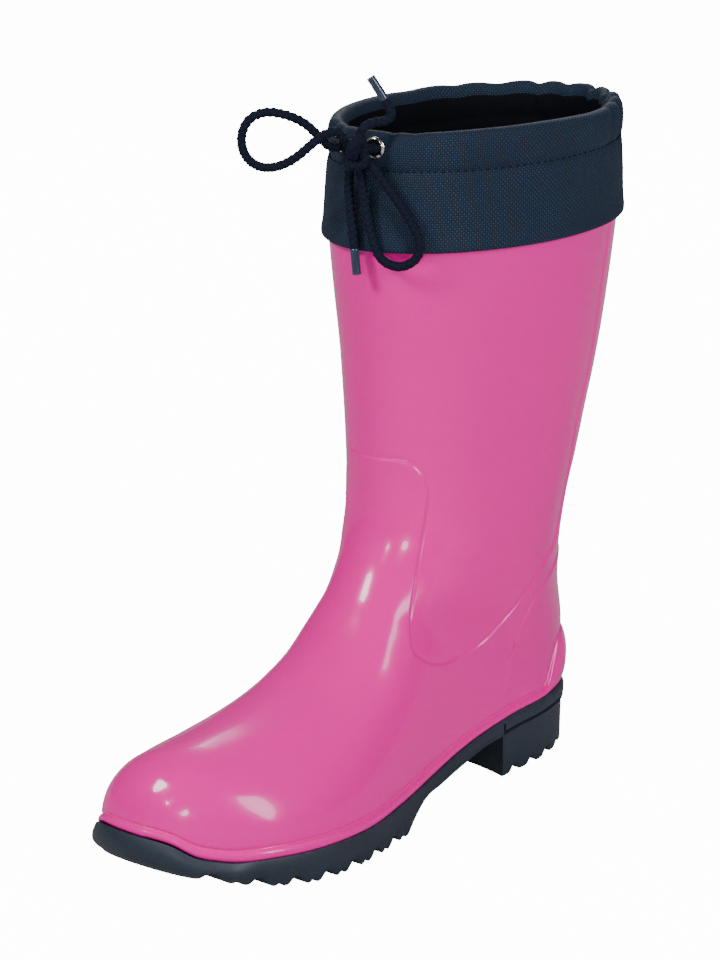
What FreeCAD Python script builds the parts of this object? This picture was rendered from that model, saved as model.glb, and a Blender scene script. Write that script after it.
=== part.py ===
import FreeCAD, Part
import Sketcher
import math
import os

# A left rain boot: moulded shaft and sole, textile cuff with a drawcord, loose footbed.
# Millimetres. +Z is up, the toe points to -Y and +X is the outer (little toe) side.

V = FreeCAD.Vector
doc = FreeCAD.newDocument("rain_boot")

DIMENSIONS = {
    "sole_length": 263.0,       # heel back to toe tip of the upper, at the feather line
    "boot_top": 257.0,          # moulded shaft ends here, under the cuff
    "wall": 2.8,                # moulded upper
    "floor_thickness": 2.5,     # moulded floor of the upper
    "lining_thickness": 0.8,
    "footbed_foam_thickness": 3.5,
    "footbed_cover_thickness": 0.8,
    "footbed_side_gap": 2.6,
    "seat_gap": 0.3,
    "welt": 2.2,                # sole edge beyond the upper
    "bumper": 4.0,              # toe bumper beyond the upper
    "bumper_length": 24.0,
    "waist_thickness": 8.0,
    "heel_length": 67.5,
    "lug_pitch": 15.0,
    "lug_groove": 4.2,
    "heel_lug_pitch": 13.0,
    "heel_lug_groove": 3.4,
    "cuff_bottom": 247.0,
    "cuff_top": 297.0,
    "cuff_cloth": 1.2,
    "cuff_ease": 1.5,           # room between the shaft and the cuff's cloth
    "cuff_lining_cloth": 1.0,
    "cuff_lean": 1.7,           # the rim sits this much further back than the hem
    "cuff_draw_in": 1.8,        # the rim is this much smaller than the hem all round
    "channel_width": 5.8,
    "channel_depth": 16.0,
    "cord_radius": 2.0,
    "eyelet_height": 290.5,
    "eyelet_bore": 2.5,
    "eyelet_rim": 4.6,
    "eyelet_plate": 0.5,
    "eyelet_seat": 0.12,        # the plate's height above the curved cloth
    "washer_seat": 0.65,        # room for the cloth's curve behind the flat washer
    "eyelet_spacing": 20.0,
    "eyelet_middle": 0.5,
    "knot_radius": 7.0,
    "knot_side": 7.5,
    "knot_reach": 9.7,
    "aglet_radius": 2.3,
    "aglet_length": 11.0,
    "thread_size": 0.8,
}


def make_sheet():
    sheet = doc.addObject("Spreadsheet::Sheet", "sizes")
    for row, (name, value) in enumerate(DIMENSIONS.items(), start=1):
        sheet.set("A%d" % row, name)
        sheet.set("B%d" % row, str(value))
        sheet.setAlias("B%d" % row, name)
    doc.recompute()
    return sheet


sizes = make_sheet()


def size(name):
    return float(sizes.get(name))


LENGTH = size("sole_length")
WALL = size("wall")
FLOOR = size("floor_thickness")
LINING = size("lining_thickness")
SEAT = size("seat_gap")
CORD = size("cord_radius")
HEEL_TOP = 29.0                 # height of the feather line at the heel
AXIS_X = 3.5                    # middle of the heel and of the shaft
STRETCH = LENGTH / 263.0        # the stations below are drawn for a 263 mm foot
MOVED_UP = size("boot_top") - 257.0

# Stations of the form. Along the foot: outer edge, inner edge.
OUTLINE = [(-263, -9, -9), (-257, 13, -29), (-246, 26.5, -38.5), (-230, 38, -43),
           (-208, 46, -44.5), (-182, 48.5, -42), (-152, 44.5, -35.5), (-122, 39, -29.5),
           (-92, 35.5, -28), (-62, 34.5, -29), (-35, 33.5, -27.5), (-12, 25.5, -19), (0, 3.5, 3.5)]
# Height of the feather line and of the ridge of the foot.
FEATHER = [(-290, 27), (-263, 25.5), (-250, 23), (-240, 18.5), (-225, 15.5), (-200, 14.5),
           (-165, 15), (-130, 18.5), (-95, 24), (-60, 28), (-25, 29), (40, 29)]
RIDGE = [(-275, 20), (-263, 27.5), (-260, 38), (-254, 47.5), (-245, 52.5), (-230, 54.6),
         (-210, 56.6), (-190, 60.6), (-174, 65.7), (-160, 73.5), (-148, 82.6), (-138, 94),
         (-125, 108), (-95, 112), (-60, 108), (-30, 92), (-10, 78), (20, 66)]
# Height of the tread under the toe.
TOE_SPRING = [(-283, 26), (-267, 14), (-259, 10.5), (-247, 7), (-231, 3.4), (-216, 1.1), (-205, 0)]
# Up the shaft: front line, back line, half width.
SHAFT = [(10, -95, -2, 26), (30, -97, -1.5, 28), (45, -99, 0.6, 31), (60, -109, 0, 34.2),
         (75, -118.5, -3, 36.5), (90, -128.4, -4.6, 38.5), (110, -125.6, -4, 40),
         (125, -121.8, -1, 40.8), (140, -120.6, 4.3, 41.8), (160, -121, 10.4, 43.3),
         (180, -122, 16.2, 45.2), (200, -123.5, 20.8, 47), (220, -126, 24.3, 48.8),
         (240, -128.3, 27.3, 50.4), (300, -133, 34, 54)]


def slope(table, index, column):
    last = len(table) - 1
    before = table[max(index - 1, 0)]
    here = table[index]
    after = table[min(index + 1, last)]
    if index == 0:
        return (after[column] - here[column]) / (after[0] - here[0])
    if index == last:
        return (here[column] - before[column]) / (here[0] - before[0])
    rise_before = (here[column] - before[column]) / (here[0] - before[0])
    rise_after = (after[column] - here[column]) / (after[0] - here[0])
    reach = after[0] - before[0]
    return (rise_before * (after[0] - here[0]) + rise_after * (here[0] - before[0])) / reach


def smooth(table, place, column=1):
    """A smooth curve through one column of a station table."""
    if place <= table[0][0]:
        return table[0][column]
    if place >= table[-1][0]:
        return table[-1][column]
    index = 0
    while table[index + 1][0] < place:
        index += 1
    span = table[index + 1][0] - table[index][0]
    part = (place - table[index][0]) / span
    start = table[index][column]
    end = table[index + 1][column]
    rise_start = slope(table, index, column) * span
    rise_end = slope(table, index + 1, column) * span
    square = part * part
    cube = square * part
    return ((2 * cube - 3 * square + 1) * start + (cube - 2 * square + part) * rise_start
            + (3 * square - 2 * cube) * end + (cube - square) * rise_end)


WIDTHS = [(y, ((out - inn) / 2) ** 2, (out + inn) / 2) for y, out, inn in OUTLINE]


def feather(y):
    return smooth(FEATHER, y / STRETCH)


def lifted(level, y):
    """Height of a ring at a place along the foot: low rings follow the feather line."""
    fade = max(0.0, 1 - level / 110.0)
    return level + HEEL_TOP + (feather(y) - HEEL_TOP) * fade * fade


def half_width_squared(y, level):
    """Foot and shaft melted into one body, as the square of its half width."""
    along = y / STRETCH
    z = lifted(level, y)
    if along <= -263:
        base = (along + 263) * 60.0
    elif along >= 0:
        base = -along * 60.0
    else:
        base = smooth(WIDTHS, along)
    low = smooth(FEATHER, along)
    share = max(0.0, z - low) / max(smooth(RIDGE, along) - low, 1.0)
    foot = base - max(base, 60.0) * share ** 2.4
    station = z if z < 200 else z - MOVED_UP
    front = smooth(SHAFT, station, 1) * STRETCH
    back = smooth(SHAFT, station, 2)
    half = smooth(SHAFT, station, 3)
    along_shaft = (y - front) / (back - front)
    shaft = 4 * half * half * along_shaft * (1 - along_shaft)
    blend = 520.0 * min(max(level / 45.0, 0.02), 1.0)
    near = max(blend - abs(foot - shaft), 0.0)
    return max(foot, shaft) + near * near / (4 * blend)


def ring_end(level, step):
    y = -60.0 * STRETCH
    while half_width_squared(y + step, level) > 0:
        y += step
    inside = y
    outside = y + step
    for _ in range(20):
        middle = (inside + outside) / 2
        if half_width_squared(middle, level) > 0:
            inside = middle
        else:
            outside = middle
    return inside


SIDE_POINTS = 22


def ring(level):
    """One closed row of points round the boot, from the toe along the outer side."""
    front = ring_end(level, -3.0)
    back = ring_end(level, 3.0)
    fade = max(0.0, 1 - level / 100.0)
    fade = fade * fade * (3 - 2 * fade)
    outer = []
    inner = []
    for index in range(SIDE_POINTS + 1):
        y = (front + back) / 2 - (back - front) / 2 * math.cos(math.pi * index / SIDE_POINTS)
        ends = index in (0, SIDE_POINTS)
        half = 0.0 if ends else math.sqrt(max(half_width_squared(y, level), 0.0))
        foot_middle = smooth(WIDTHS, min(max(y / STRETCH, -263.0), 0.0), 2)
        middle = AXIS_X + (foot_middle - AXIS_X) * fade
        z = lifted(level, y)
        outer.append(V(middle + half, y, z))
        inner.append(V(middle - half, y, z))
    return outer + inner[-2:0:-1]


TOP_LEVEL = size("boot_top") - HEEL_TOP
LEVELS = [0, 5, 10, 15, 20, 24, 28, 32, 37, 43, 50, 58, 67, 77, 88, 100, 114, 130, 150, 170, 190, 210]
RINGS = [ring(level) for level in LEVELS + [TOP_LEVEL]]


def inset(rows, depth):
    """The same rows moved inwards, square to the surface."""
    count = len(rows[0])
    moved = []
    for r, row in enumerate(rows):
        below = rows[max(r - 1, 0)]
        above = rows[min(r + 1, len(rows) - 1)]
        new_row = []
        for i, point in enumerate(row):
            around = row[(i + 1) % count] - row[i - 1]
            up = above[i] - below[i]
            if r == 0 or r == len(rows) - 1:
                up = V(0, 0, 1)
            normal = around.cross(up)
            normal.normalize()
            new_row.append(point - normal * depth)
        moved.append(new_row)
    return moved


def closed_curve(points):
    curve = Part.BSplineCurve()
    curve.interpolate(Points=points, PeriodicFlag=True)
    return Part.Wire([curve.toShape()])


def slab_below(offset):
    """Everything under the feather surface raised by an offset."""
    ends = [FEATHER[0][0] * STRETCH, FEATHER[-1][0]]
    places = [ends[0] + (ends[1] - ends[0]) * i / 33 for i in range(34)]
    line = Part.BSplineCurve()
    line.interpolate([V(-90, y, feather(y) + offset) for y in places])
    first = line.value(line.FirstParameter)
    last = line.value(line.LastParameter)
    low = -30.0
    corner_front = V(-90, first.y, low)
    corner_back = V(-90, last.y, low)
    edges = [line.toShape(), Part.makeLine(last, corner_back),
             Part.makeLine(corner_back, corner_front), Part.makeLine(corner_front, first)]
    return Part.Face(Part.Wire(edges)).extrude(V(180, 0, 0))


def boot_body(depth, floor, rise=0.0):
    """The closed body inside the outer surface by a depth, standing on a floor height."""
    rows = inset(RINGS, depth) if depth else RINGS
    foot = [V(p.x, p.y, 4.0) for p in rows[0]]
    under = [V(p.x, p.y, p.z - 5.0) for p in rows[0]]
    rows = [foot, under] + rows
    if rise:
        rows = rows + [[V(p.x, p.y, p.z + rise) for p in rows[-1]]]
    body = Part.makeLoft([closed_curve(row) for row in rows], True, True)
    return body.cut(slab_below(floor))


def add_shape(name, shape):
    feature = doc.addObject("Part::Feature", name)
    feature.Label = name
    feature.Shape = shape
    feature.Placement = FreeCAD.Placement()
    return feature


def make_upper_shell():
    outside = boot_body(0.0, 0.0)
    inside = boot_body(WALL, FLOOR, 6.0)
    return add_shape("upper_shell", outside.cut(inside))


def make_sock_lining():
    outside = boot_body(WALL, FLOOR)
    inside = boot_body(WALL + LINING, FLOOR + LINING, 6.0)
    return add_shape("sock_lining", outside.cut(inside))


def footbed_layer(name, low, high):
    depth = WALL + LINING + size("footbed_side_gap")
    body = boot_body(depth, low)
    return add_shape(name, body.common(slab_below(high)))


def make_footbed():
    low = FLOOR + LINING + SEAT
    split = low + size("footbed_foam_thickness")
    top = split + size("footbed_cover_thickness")
    return [footbed_layer("footbed_foam", low, split), footbed_layer("footbed_cover", split, top)]


def outline_block(reach, low, high):
    """The foot's plan outline moved outwards, as a straight block."""
    row = RINGS[0]
    count = len(row)
    points = []
    for i, point in enumerate(row):
        along = row[(i + 1) % count] - row[i - 1]
        normal = V(along.y, -along.x, 0)
        normal.normalize()
        points.append(V(point.x, point.y, low) + normal * reach)
    return Part.Face(closed_curve(points)).extrude(V(0, 0, high - low))


def sole_underside():
    """Everything below the sole: toe spring, waist arch and the heel's breast."""
    waist = size("waist_thickness")
    heel = -size("heel_length")
    left = -90
    spring = Part.BSplineCurve()
    spring.interpolate([V(left, y * STRETCH, z) for y, z in TOE_SPRING])
    toe_end = TOE_SPRING[-1][0] * STRETCH
    toe_start = V(left, TOE_SPRING[0][0] * STRETCH, TOE_SPRING[0][1])
    ball = -146.0 * STRETCH
    arch = Part.BSplineCurve()
    places = [ball + 14, ball + 30, ball + 46, heel - 5]
    arch.interpolate([V(left, ball, 0.0), V(left, ball + 5, 4.5)]
                     + [V(left, y, feather(y) - waist) for y in places])
    arch_end = arch.value(arch.LastParameter)
    corners = [arch_end, V(left, heel, arch_end.z - 1.0), V(left, heel + 1.5, 0), V(left, 30, 0),
               V(left, 30, -30), V(left, toe_start.y, -30), toe_start]
    edges = [spring.toShape(), Part.makeLine(V(left, toe_end, 0), V(left, ball, 0)),
             arch.toShape()]
    edges += [Part.makeLine(a, b) for a, b in zip(corners, corners[1:])]
    return Part.Face(Part.Wire(edges)).extrude(V(180, 0, 0))


def tread(y):
    """Height of the tread above the floor, which the toe spring lifts."""
    return smooth(TOE_SPRING, y / STRETCH, 1)


def grooves(first, last, pitch, radius):
    """Round grooves across the tread, with a shallow one between each two."""
    bars = []
    count = int((last - first) / pitch) + 1
    for i in range(count):
        y = first + i * pitch
        bars.append(Part.makeCylinder(radius, 140, V(-70, y, tread(y)), V(1, 0, 0)))
        if i < count - 1:
            between = V(-70, y + pitch / 2, tread(y + pitch / 2) - 0.2)
            bars.append(Part.makeCylinder(radius * 0.4, 140, between, V(1, 0, 0)))
    return bars


def make_outsole():
    block = outline_block(size("welt"), -2, 60)
    toe = -LENGTH
    toe_block = outline_block(size("bumper"), -2, 60)
    toe_box = Part.makeBox(140, 60, 60, V(-70, toe - 60 + size("bumper_length"), -2))
    block = block.fuse(toe_block.common(toe_box)).removeSplitter()
    sole = block.common(slab_below(0.0)).cut(sole_underside())
    pitch = size("lug_pitch")
    bars = grooves(toe + 30, -150.0 * STRETCH, pitch, size("lug_groove"))
    bars += grooves(-size("heel_length") + 9.5, -4, size("heel_lug_pitch"), size("heel_lug_groove"))
    return add_shape("outsole", sole.cut(Part.Compound(bars)))


# The cuff: oval sections, drawn in a little and leaning back towards the rim.
HEM_Z = size("cuff_bottom")
RIM_Z = size("cuff_top")
HEM_STATION = 250.0
HEM_FRONT = smooth(SHAFT, HEM_STATION, 1) * STRETCH
HEM_BACK = smooth(SHAFT, HEM_STATION, 2)
HEM_LONG = (HEM_BACK - HEM_FRONT) / 2 + size("cuff_ease") + size("cuff_cloth")
HEM_WIDE = smooth(SHAFT, HEM_STATION, 3) + size("cuff_ease") + size("cuff_cloth")
HEM_Y = (HEM_FRONT + HEM_BACK) / 2


def cuff_share(z):
    return (z - HEM_Z) / (RIM_Z - HEM_Z)


def cuff_middle(z):
    return HEM_Y + size("cuff_lean") * cuff_share(z)


def cuff_long(z, depth):
    return HEM_LONG - size("cuff_draw_in") * cuff_share(z) - depth


def cuff_wide(z, depth):
    return HEM_WIDE - size("cuff_draw_in") * cuff_share(z) - depth


def oval(z, depth):
    """Oval section of the cuff at a height, inside its outer face by a depth."""
    turn = FreeCAD.Rotation(V(0, 0, 1), 90)
    shape = Part.Ellipse(V(0, 0, 0), cuff_long(z, depth), cuff_wide(z, depth)).toShape()
    shape.Placement = FreeCAD.Placement(V(AXIS_X, cuff_middle(z), z), turn)
    return Part.Wire([shape])


def oval_tube(low, high, depth):
    return Part.makeLoft([oval(low, depth), oval(high, depth)], True, True)


def make_cuff_outer():
    """Outer cloth with its fold over the rim."""
    cloth = size("cuff_cloth")
    through = cloth + size("channel_width") + size("cuff_lining_cloth")
    outside = oval_tube(HEM_Z, RIM_Z, 0.0)
    hollow = oval_tube(HEM_Z - 2, RIM_Z - cloth, cloth)
    way_in = oval_tube(HEM_Z - 2, RIM_Z + 2, through)
    holes = [eyelet_bore(x) for x in eyelet_places()]
    return add_shape("cuff_outer", outside.cut(hollow).cut(way_in).cut(Part.Compound(holes)))


def make_cuff_lining():
    """Inner cloth, from inside the shaft's edge up to the fold."""
    near = size("cuff_cloth") + size("channel_width")
    far = near + size("cuff_lining_cloth")
    low = HEM_Z + 0.5
    high = RIM_Z - size("cuff_cloth")
    outside = oval_tube(low, high, near)
    return add_shape("cuff_lining", outside.cut(oval_tube(low - 2, high + 2, far)))


def thread_ring(name, z, depth, inward):
    """A line of stitching laid round the cloth."""
    thick = size("thread_size")
    low = z - thick / 2
    high = z + thick / 2
    outer = depth if inward else depth - thick
    band = oval_tube(low, high, outer).cut(oval_tube(low - 1, high + 1, outer + thick))
    return add_shape(name, band)


def make_threads():
    channel_z = RIM_Z - size("channel_depth")
    inside = size("cuff_cloth") + size("channel_width") + size("cuff_lining_cloth")
    thread_ring("channel_thread", channel_z, 0.0, False)
    thread_ring("joining_thread", HEM_Z + 4, inside, True)


# Eyelets in the front of the cuff.
EYELET_Z = size("eyelet_height")


def eyelet_places():
    reach = size("eyelet_spacing") / 2
    return [size("eyelet_middle") - reach, size("eyelet_middle") + reach]


def cuff_face_y(x, z, depth=0.0):
    across = (x - AXIS_X) / cuff_wide(z, depth)
    return cuff_middle(z) - cuff_long(z, depth) * math.sqrt(1 - across * across)


def eyelet_turn(x):
    """Angle that points an eyelet's axis square out of the cuff."""
    step = 0.5
    rise = cuff_face_y(x + step, EYELET_Z) - cuff_face_y(x - step, EYELET_Z)
    return math.degrees(math.atan2(rise, 2 * step))


def eyelet_axis(x):
    turn = math.radians(eyelet_turn(x))
    return V(math.sin(turn), -math.cos(turn), 0)


def eyelet_bore(x):
    start = V(x, cuff_face_y(x, EYELET_Z), EYELET_Z)
    axis = eyelet_axis(x)
    cloth = size("cuff_cloth")
    return Part.makeCylinder(size("eyelet_bore") + 0.6, cloth + 3, start - axis * (cloth + 1.5), axis)


def make_eyelet(name, x):
    """Pressed ring with a barrel through the cloth, turned about its own axis."""
    body = doc.addObject("PartDesign::Body", name)
    body.Label = name
    plane = [f for f in body.Origin.OriginFeatures if f.Role == "XZ_Plane"][0]
    sketch = body.newObject("Sketcher::SketchObject", name + "_section")
    sketch.AttachmentSupport = [(plane, "")]
    sketch.MapMode = "FlatFace"
    bore = size("eyelet_bore")
    rim = size("eyelet_rim")
    plate = size("eyelet_plate")
    seat = size("eyelet_seat")
    barrel = size("cuff_cloth") + 0.5
    outline = [(bore, -barrel), (bore + 0.5, -barrel), (bore + 0.5, seat), (rim, seat),
               (rim, seat + plate), (bore, seat + plate)]
    for i, (a, b) in enumerate(zip(outline, outline[1:] + outline[:1])):
        sketch.addGeometry(Part.LineSegment(V(a[0], a[1], 0), V(b[0], b[1], 0)))
    corners = len(outline)
    for i in range(corners):
        sketch.addConstraint(Sketcher.Constraint("Coincident", i, 2, (i + 1) % corners, 1))
    fixes = [("DistanceX", 0, 1, bore, "eyelet_bore", "sizes.eyelet_bore"),
             ("DistanceX", 3, 2, rim, "eyelet_rim", "sizes.eyelet_rim")]
    for kind, line, end, value, label, formula in fixes:
        index = sketch.addConstraint(Sketcher.Constraint(kind, -1, 1, line, end, value))
        sketch.renameConstraint(index, label)
        sketch.setExpression("Constraints." + label, formula)
    turned = body.newObject("PartDesign::Revolution", name + "_turned")
    turned.Profile = sketch
    turned.ReferenceAxis = (sketch, ["V_Axis"])
    turned.Angle = 360.0
    doc.recompute()
    start = V(x, cuff_face_y(x, EYELET_Z), EYELET_Z)
    body.Placement = FreeCAD.Placement(start, FreeCAD.Rotation(V(0, 0, 1), eyelet_axis(x)))
    return body


def make_washer(name, x):
    """Flat ring that clinches the eyelet on the hidden side of the cloth."""
    bore = doc.addObject("Part::Cylinder", name + "_bore")
    disc = doc.addObject("Part::Cylinder", name + "_disc")
    for piece, radius, extra in ((disc, "sizes.eyelet_rim - 0.4", 0.0),
                                 (bore, "sizes.eyelet_bore + 0.55", 1.0)):
        piece.setExpression("Radius", radius)
        piece.setExpression("Height", "sizes.eyelet_plate + %s" % (2 * extra))
        piece.Placement = FreeCAD.Placement(V(0, 0, -extra), FreeCAD.Rotation())
    ring_cut = doc.addObject("Part::Cut", name)
    ring_cut.Label = name
    ring_cut.Base = disc
    ring_cut.Tool = bore
    axis = eyelet_axis(x)
    back = size("cuff_cloth") + size("eyelet_plate") + size("washer_seat")
    start = V(x, cuff_face_y(x, EYELET_Z), EYELET_Z) - axis * back
    ring_cut.Placement = FreeCAD.Placement(start, FreeCAD.Rotation(V(0, 0, 1), axis))
    return ring_cut


def make_eyelets():
    right, left = eyelet_places()
    make_eyelet("eyelet_inner_side", right)
    make_eyelet("eyelet_outer_side", left)
    make_washer("washer_inner_side", right)
    make_washer("washer_outer_side", left)


# Cord: straight runs joined by tangent arcs.
RUN_SHARE = 0.45
KNOT = V(size("knot_side"), cuff_face_y(size("knot_side"), EYELET_Z) - size("knot_reach"), EYELET_Z)


def rounded_path(points, name):
    """A wire of straight runs and arcs through hand-chosen points; prints the radii."""
    edges = []
    start = points[0]
    radii = []
    for before, corner, after in zip(points, points[1:], points[2:]):
        into = corner - before
        away = after - corner
        turn = into.getAngle(away)
        shorter = min(into.Length, away.Length)
        radius = RUN_SHARE * shorter / math.tan(turn / 2)
        cut = RUN_SHARE * shorter
        into.normalize()
        away.normalize()
        arc_start = corner - into * cut
        arc_end = corner + away * cut
        inward = away - into
        inward.normalize()
        middle = corner + inward * (radius / math.cos(turn / 2) - radius)
        if (arc_start - start).Length > 1e-6:
            edges.append(Part.LineSegment(start, arc_start).toShape())
        edges.append(Part.Arc(arc_start, middle, arc_end).toShape())
        radii.append(round(radius, 1))
        start = arc_end
    edges.append(Part.LineSegment(start, points[-1]).toShape())
    wire = Part.Wire(edges)
    print(name, "length", round(wire.Length, 1), "radii", radii)
    return wire


def cord_tube(name, points):
    path = rounded_path(points, name)
    direction = points[1] - points[0]
    section = Part.Wire([Part.makeCircle(CORD, points[0], direction)])
    tube = path.makePipeShell([section], True, False)
    ideal = math.pi * CORD ** 2 * path.Length
    print(name, "volume against section times length", round(tube.Volume / ideal, 4))
    return add_shape(name, tube)


CHANNEL_SAGITTA = 0.4           # the arcs pass this far inside their corners
CHANNEL_STEP = 12


def channel_point(angle):
    """Corner of the cord's path in the channel, by angle from the front."""
    depth = size("cuff_cloth") + size("channel_width") / 2 - CHANNEL_SAGITTA
    turn = math.radians(angle)
    x = AXIS_X + cuff_wide(EYELET_Z, depth) * math.sin(turn)
    y = cuff_middle(EYELET_Z) - cuff_long(EYELET_Z, depth) * math.cos(turn)
    return V(x, y, EYELET_Z)


def make_drawcord():
    """The held run: knot, eyelet, once round in the channel, eyelet, knot."""
    inner, outer = eyelet_places()
    inside = size("cuff_cloth") + size("channel_width") / 2
    start = V(outer, cuff_face_y(outer, EYELET_Z), EYELET_Z)
    end = V(inner, cuff_face_y(inner, EYELET_Z), EYELET_Z)
    way_in = eyelet_axis(outer)
    before = start + way_in * 1.6
    into = before - KNOT
    into.normalize()
    points = [KNOT + into * (size("knot_radius") - 2.5), before, start - way_in * inside]
    points += [channel_point(angle) for angle in range(24, 336, CHANNEL_STEP)]
    axis = eyelet_axis(inner)
    points += [end - axis * inside, end + axis * 4.6, KNOT + V(-4.8, 1.2, 0)]
    return cord_tube("drawcord_channel", points)


# Routes of the free cord, chosen by hand, measured from the middle of the knot. Each end starts
# square to the knot, so that the cord can swing about the knot's middle.
OUT = size("knot_radius") + SEAT
NEAR = OUT + 3.2


def from_knot(x, y, z, reach):
    direction = V(x, y, z)
    direction.normalize()
    return direction * reach


def loop_ends(start, end, middle_points):
    first = [from_knot(*start, OUT), from_knot(*start, NEAR)]
    last = [from_knot(*end, NEAR), from_knot(*end, OUT)]
    return first + [V(*point) for point in middle_points] + last


ROUTES = {
    "side_loop": loop_ends((-84, -52, 15), (-42, -45, 79), [
        (-12.3, -7.2, 5.4), (-17.2, -10.2, 11.0), (-21.9, -17.0, 14.8), (-27.8, -22.9, 16.2),
        (-33.2, -27.4, 12.9), (-35.6, -29.3, 5.8), (-34.6, -28.6, -1.8), (-30.6, -25.2, -6.9),
        (-24.6, -20.6, -7.4), (-17.2, -16.8, -3.4), (-11.2, -14.0, 2.6), (-7.6, -9.4, 7.2)]),
    "hanging_loop": loop_ends((75, 30, -59), (14, 32, -94), [
        (10.9, 5.2, -11.6), (15.0, 8.2, -18.4), (20.4, 11.4, -27.3), (24.2, 14.0, -36.4),
        (23.8, 14.0, -44.2), (17.4, 10.4, -49.0), (10.0, 6.4, -46.4), (6.4, 5.2, -38.6),
        (3.6, 4.9, -28.8), (1.8, 4.4, -18.6)]),
    "hanging_end": [from_knot(-45, 35, -82, OUT), from_knot(-45, 35, -82, NEAR),
                    V(-5.4, 3.7, -15.2), V(-4.8, 3.5, -22.8), V(-3.4, 3.1, -30.4),
                    V(-2.4, 3.1, -37.6), V(-0.4, 2.9, -52.2)],
    "rim_end": [from_knot(35, 20, 91, OUT), from_knot(35, 20, 91, NEAR), V(5.6, 6.4, 11.4),
                V(7.6, 10.8, 11.2), V(9.3, 13.8, 13.0), V(8.9, 13.5, 16.6), V(1.9, 9.4, 28.8)],
}


def make_free_cords():
    for name, route in ROUTES.items():
        cord_tube(name, [KNOT + point for point in route])


def make_knot():
    knot = doc.addObject("Part::Sphere", "drawcord_knot")
    knot.Label = "drawcord_knot"
    knot.setExpression("Radius", "sizes.knot_radius")
    knot.Placement = FreeCAD.Placement(KNOT, FreeCAD.Rotation())


def make_aglet(name, route):
    """Plastic sleeve over the last stretch of a cord end."""
    sleeve = doc.addObject("Part::Cylinder", name + "_sleeve")
    bore = doc.addObject("Part::Cylinder", name + "_bore")
    sleeve.setExpression("Radius", "sizes.aglet_radius")
    bore.setExpression("Radius", "sizes.cord_radius + 0.05")
    sleeve.setExpression("Height", "sizes.aglet_length")
    bore.setExpression("Height", "sizes.aglet_length + 2")
    bore.Placement = FreeCAD.Placement(V(0, 0, -1), FreeCAD.Rotation())
    aglet = doc.addObject("Part::Cut", name)
    aglet.Label = name
    aglet.Base = sleeve
    aglet.Tool = bore
    axis = route[-1] - route[-2]
    axis.normalize()
    place = KNOT + route[-1] - axis * (size("aglet_length") - 0.5)
    aglet.Placement = FreeCAD.Placement(place, FreeCAD.Rotation(V(0, 0, 1), axis))


SUB_PARTS = [
    "upper_shell", "sock_lining", "outsole", "footbed_foam", "footbed_cover",
    "cuff_outer", "cuff_lining", "channel_thread", "joining_thread",
    "eyelet_inner_side", "eyelet_outer_side", "washer_inner_side", "washer_outer_side",
    "drawcord_channel", "drawcord_knot", "side_loop", "hanging_loop", "hanging_end",
    "rim_end", "aglet_hanging", "aglet_rim",
]


def make_all():
    make_upper_shell()
    make_sock_lining()
    make_footbed()
    make_outsole()
    make_cuff_outer()
    make_cuff_lining()
    make_threads()
    make_eyelets()
    make_drawcord()
    make_knot()
    make_free_cords()
    make_aglet("aglet_hanging", ROUTES["hanging_end"])
    make_aglet("aglet_rim", ROUTES["rim_end"])
    doc.recompute()


def move_to_origin():
    """Put the origin under the middle of the boot's box, on the ground."""
    front = -LENGTH - size("bumper")
    stitched = RIM_Z - size("channel_depth")
    back = cuff_middle(stitched) + cuff_long(stitched, -size("thread_size"))
    shift = FreeCAD.Placement(V(-AXIS_X, -(front + back) / 2, 0), FreeCAD.Rotation())
    for name in SUB_PARTS:
        piece = doc.getObjectsByLabel(name)[0]
        piece.Placement = shift.multiply(piece.Placement)
    doc.recompute()
    print("shift", shift.Base, "knot", KNOT + shift.Base)


def check_all():
    for item in doc.Objects:
        if "Invalid" in item.State or "Error" in item.State:
            raise RuntimeError(item.Name + " failed: " + str(item.State))
    for name in SUB_PARTS:
        shape = doc.getObjectsByLabel(name)[0].Shape
        if shape.isNull() or not shape.isValid():
            raise RuntimeError(name + " has no valid shape")


def write_all():
    os.makedirs("parts", exist_ok=True)
    for name in SUB_PARTS:
        doc.getObjectsByLabel(name)[0].Shape.exportStep("parts/" + name + ".step")


make_all()
move_to_origin()
check_all()
write_all()
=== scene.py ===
import math
import bmesh
import bpy
import numpy as np
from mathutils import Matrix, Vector
from mathutils.kdtree import KDTree


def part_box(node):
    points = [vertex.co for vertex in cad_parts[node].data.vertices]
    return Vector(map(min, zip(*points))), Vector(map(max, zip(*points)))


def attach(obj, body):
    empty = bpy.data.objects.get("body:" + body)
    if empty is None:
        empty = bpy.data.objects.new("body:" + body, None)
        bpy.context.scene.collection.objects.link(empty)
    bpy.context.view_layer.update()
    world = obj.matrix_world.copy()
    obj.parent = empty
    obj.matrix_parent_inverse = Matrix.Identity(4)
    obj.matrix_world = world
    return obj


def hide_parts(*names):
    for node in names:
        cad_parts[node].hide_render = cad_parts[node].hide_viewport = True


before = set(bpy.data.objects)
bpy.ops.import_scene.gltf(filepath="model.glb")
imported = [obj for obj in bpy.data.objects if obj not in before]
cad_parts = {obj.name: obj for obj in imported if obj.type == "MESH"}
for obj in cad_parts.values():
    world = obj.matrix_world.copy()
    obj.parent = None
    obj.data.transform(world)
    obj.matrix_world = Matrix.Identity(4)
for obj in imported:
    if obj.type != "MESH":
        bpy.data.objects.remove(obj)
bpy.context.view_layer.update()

# A left rain boot: glossy moulded upper on a rubber sole, textile cuff with a braided drawcord.
# Shapes are worked out in millimetres in the row's frame: toe to -Y, outer side +X, up +Z.

MM = 0.001


def box_mm(node):
    low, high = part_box(node)
    return np.array(low) / MM, np.array(high) / MM


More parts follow.
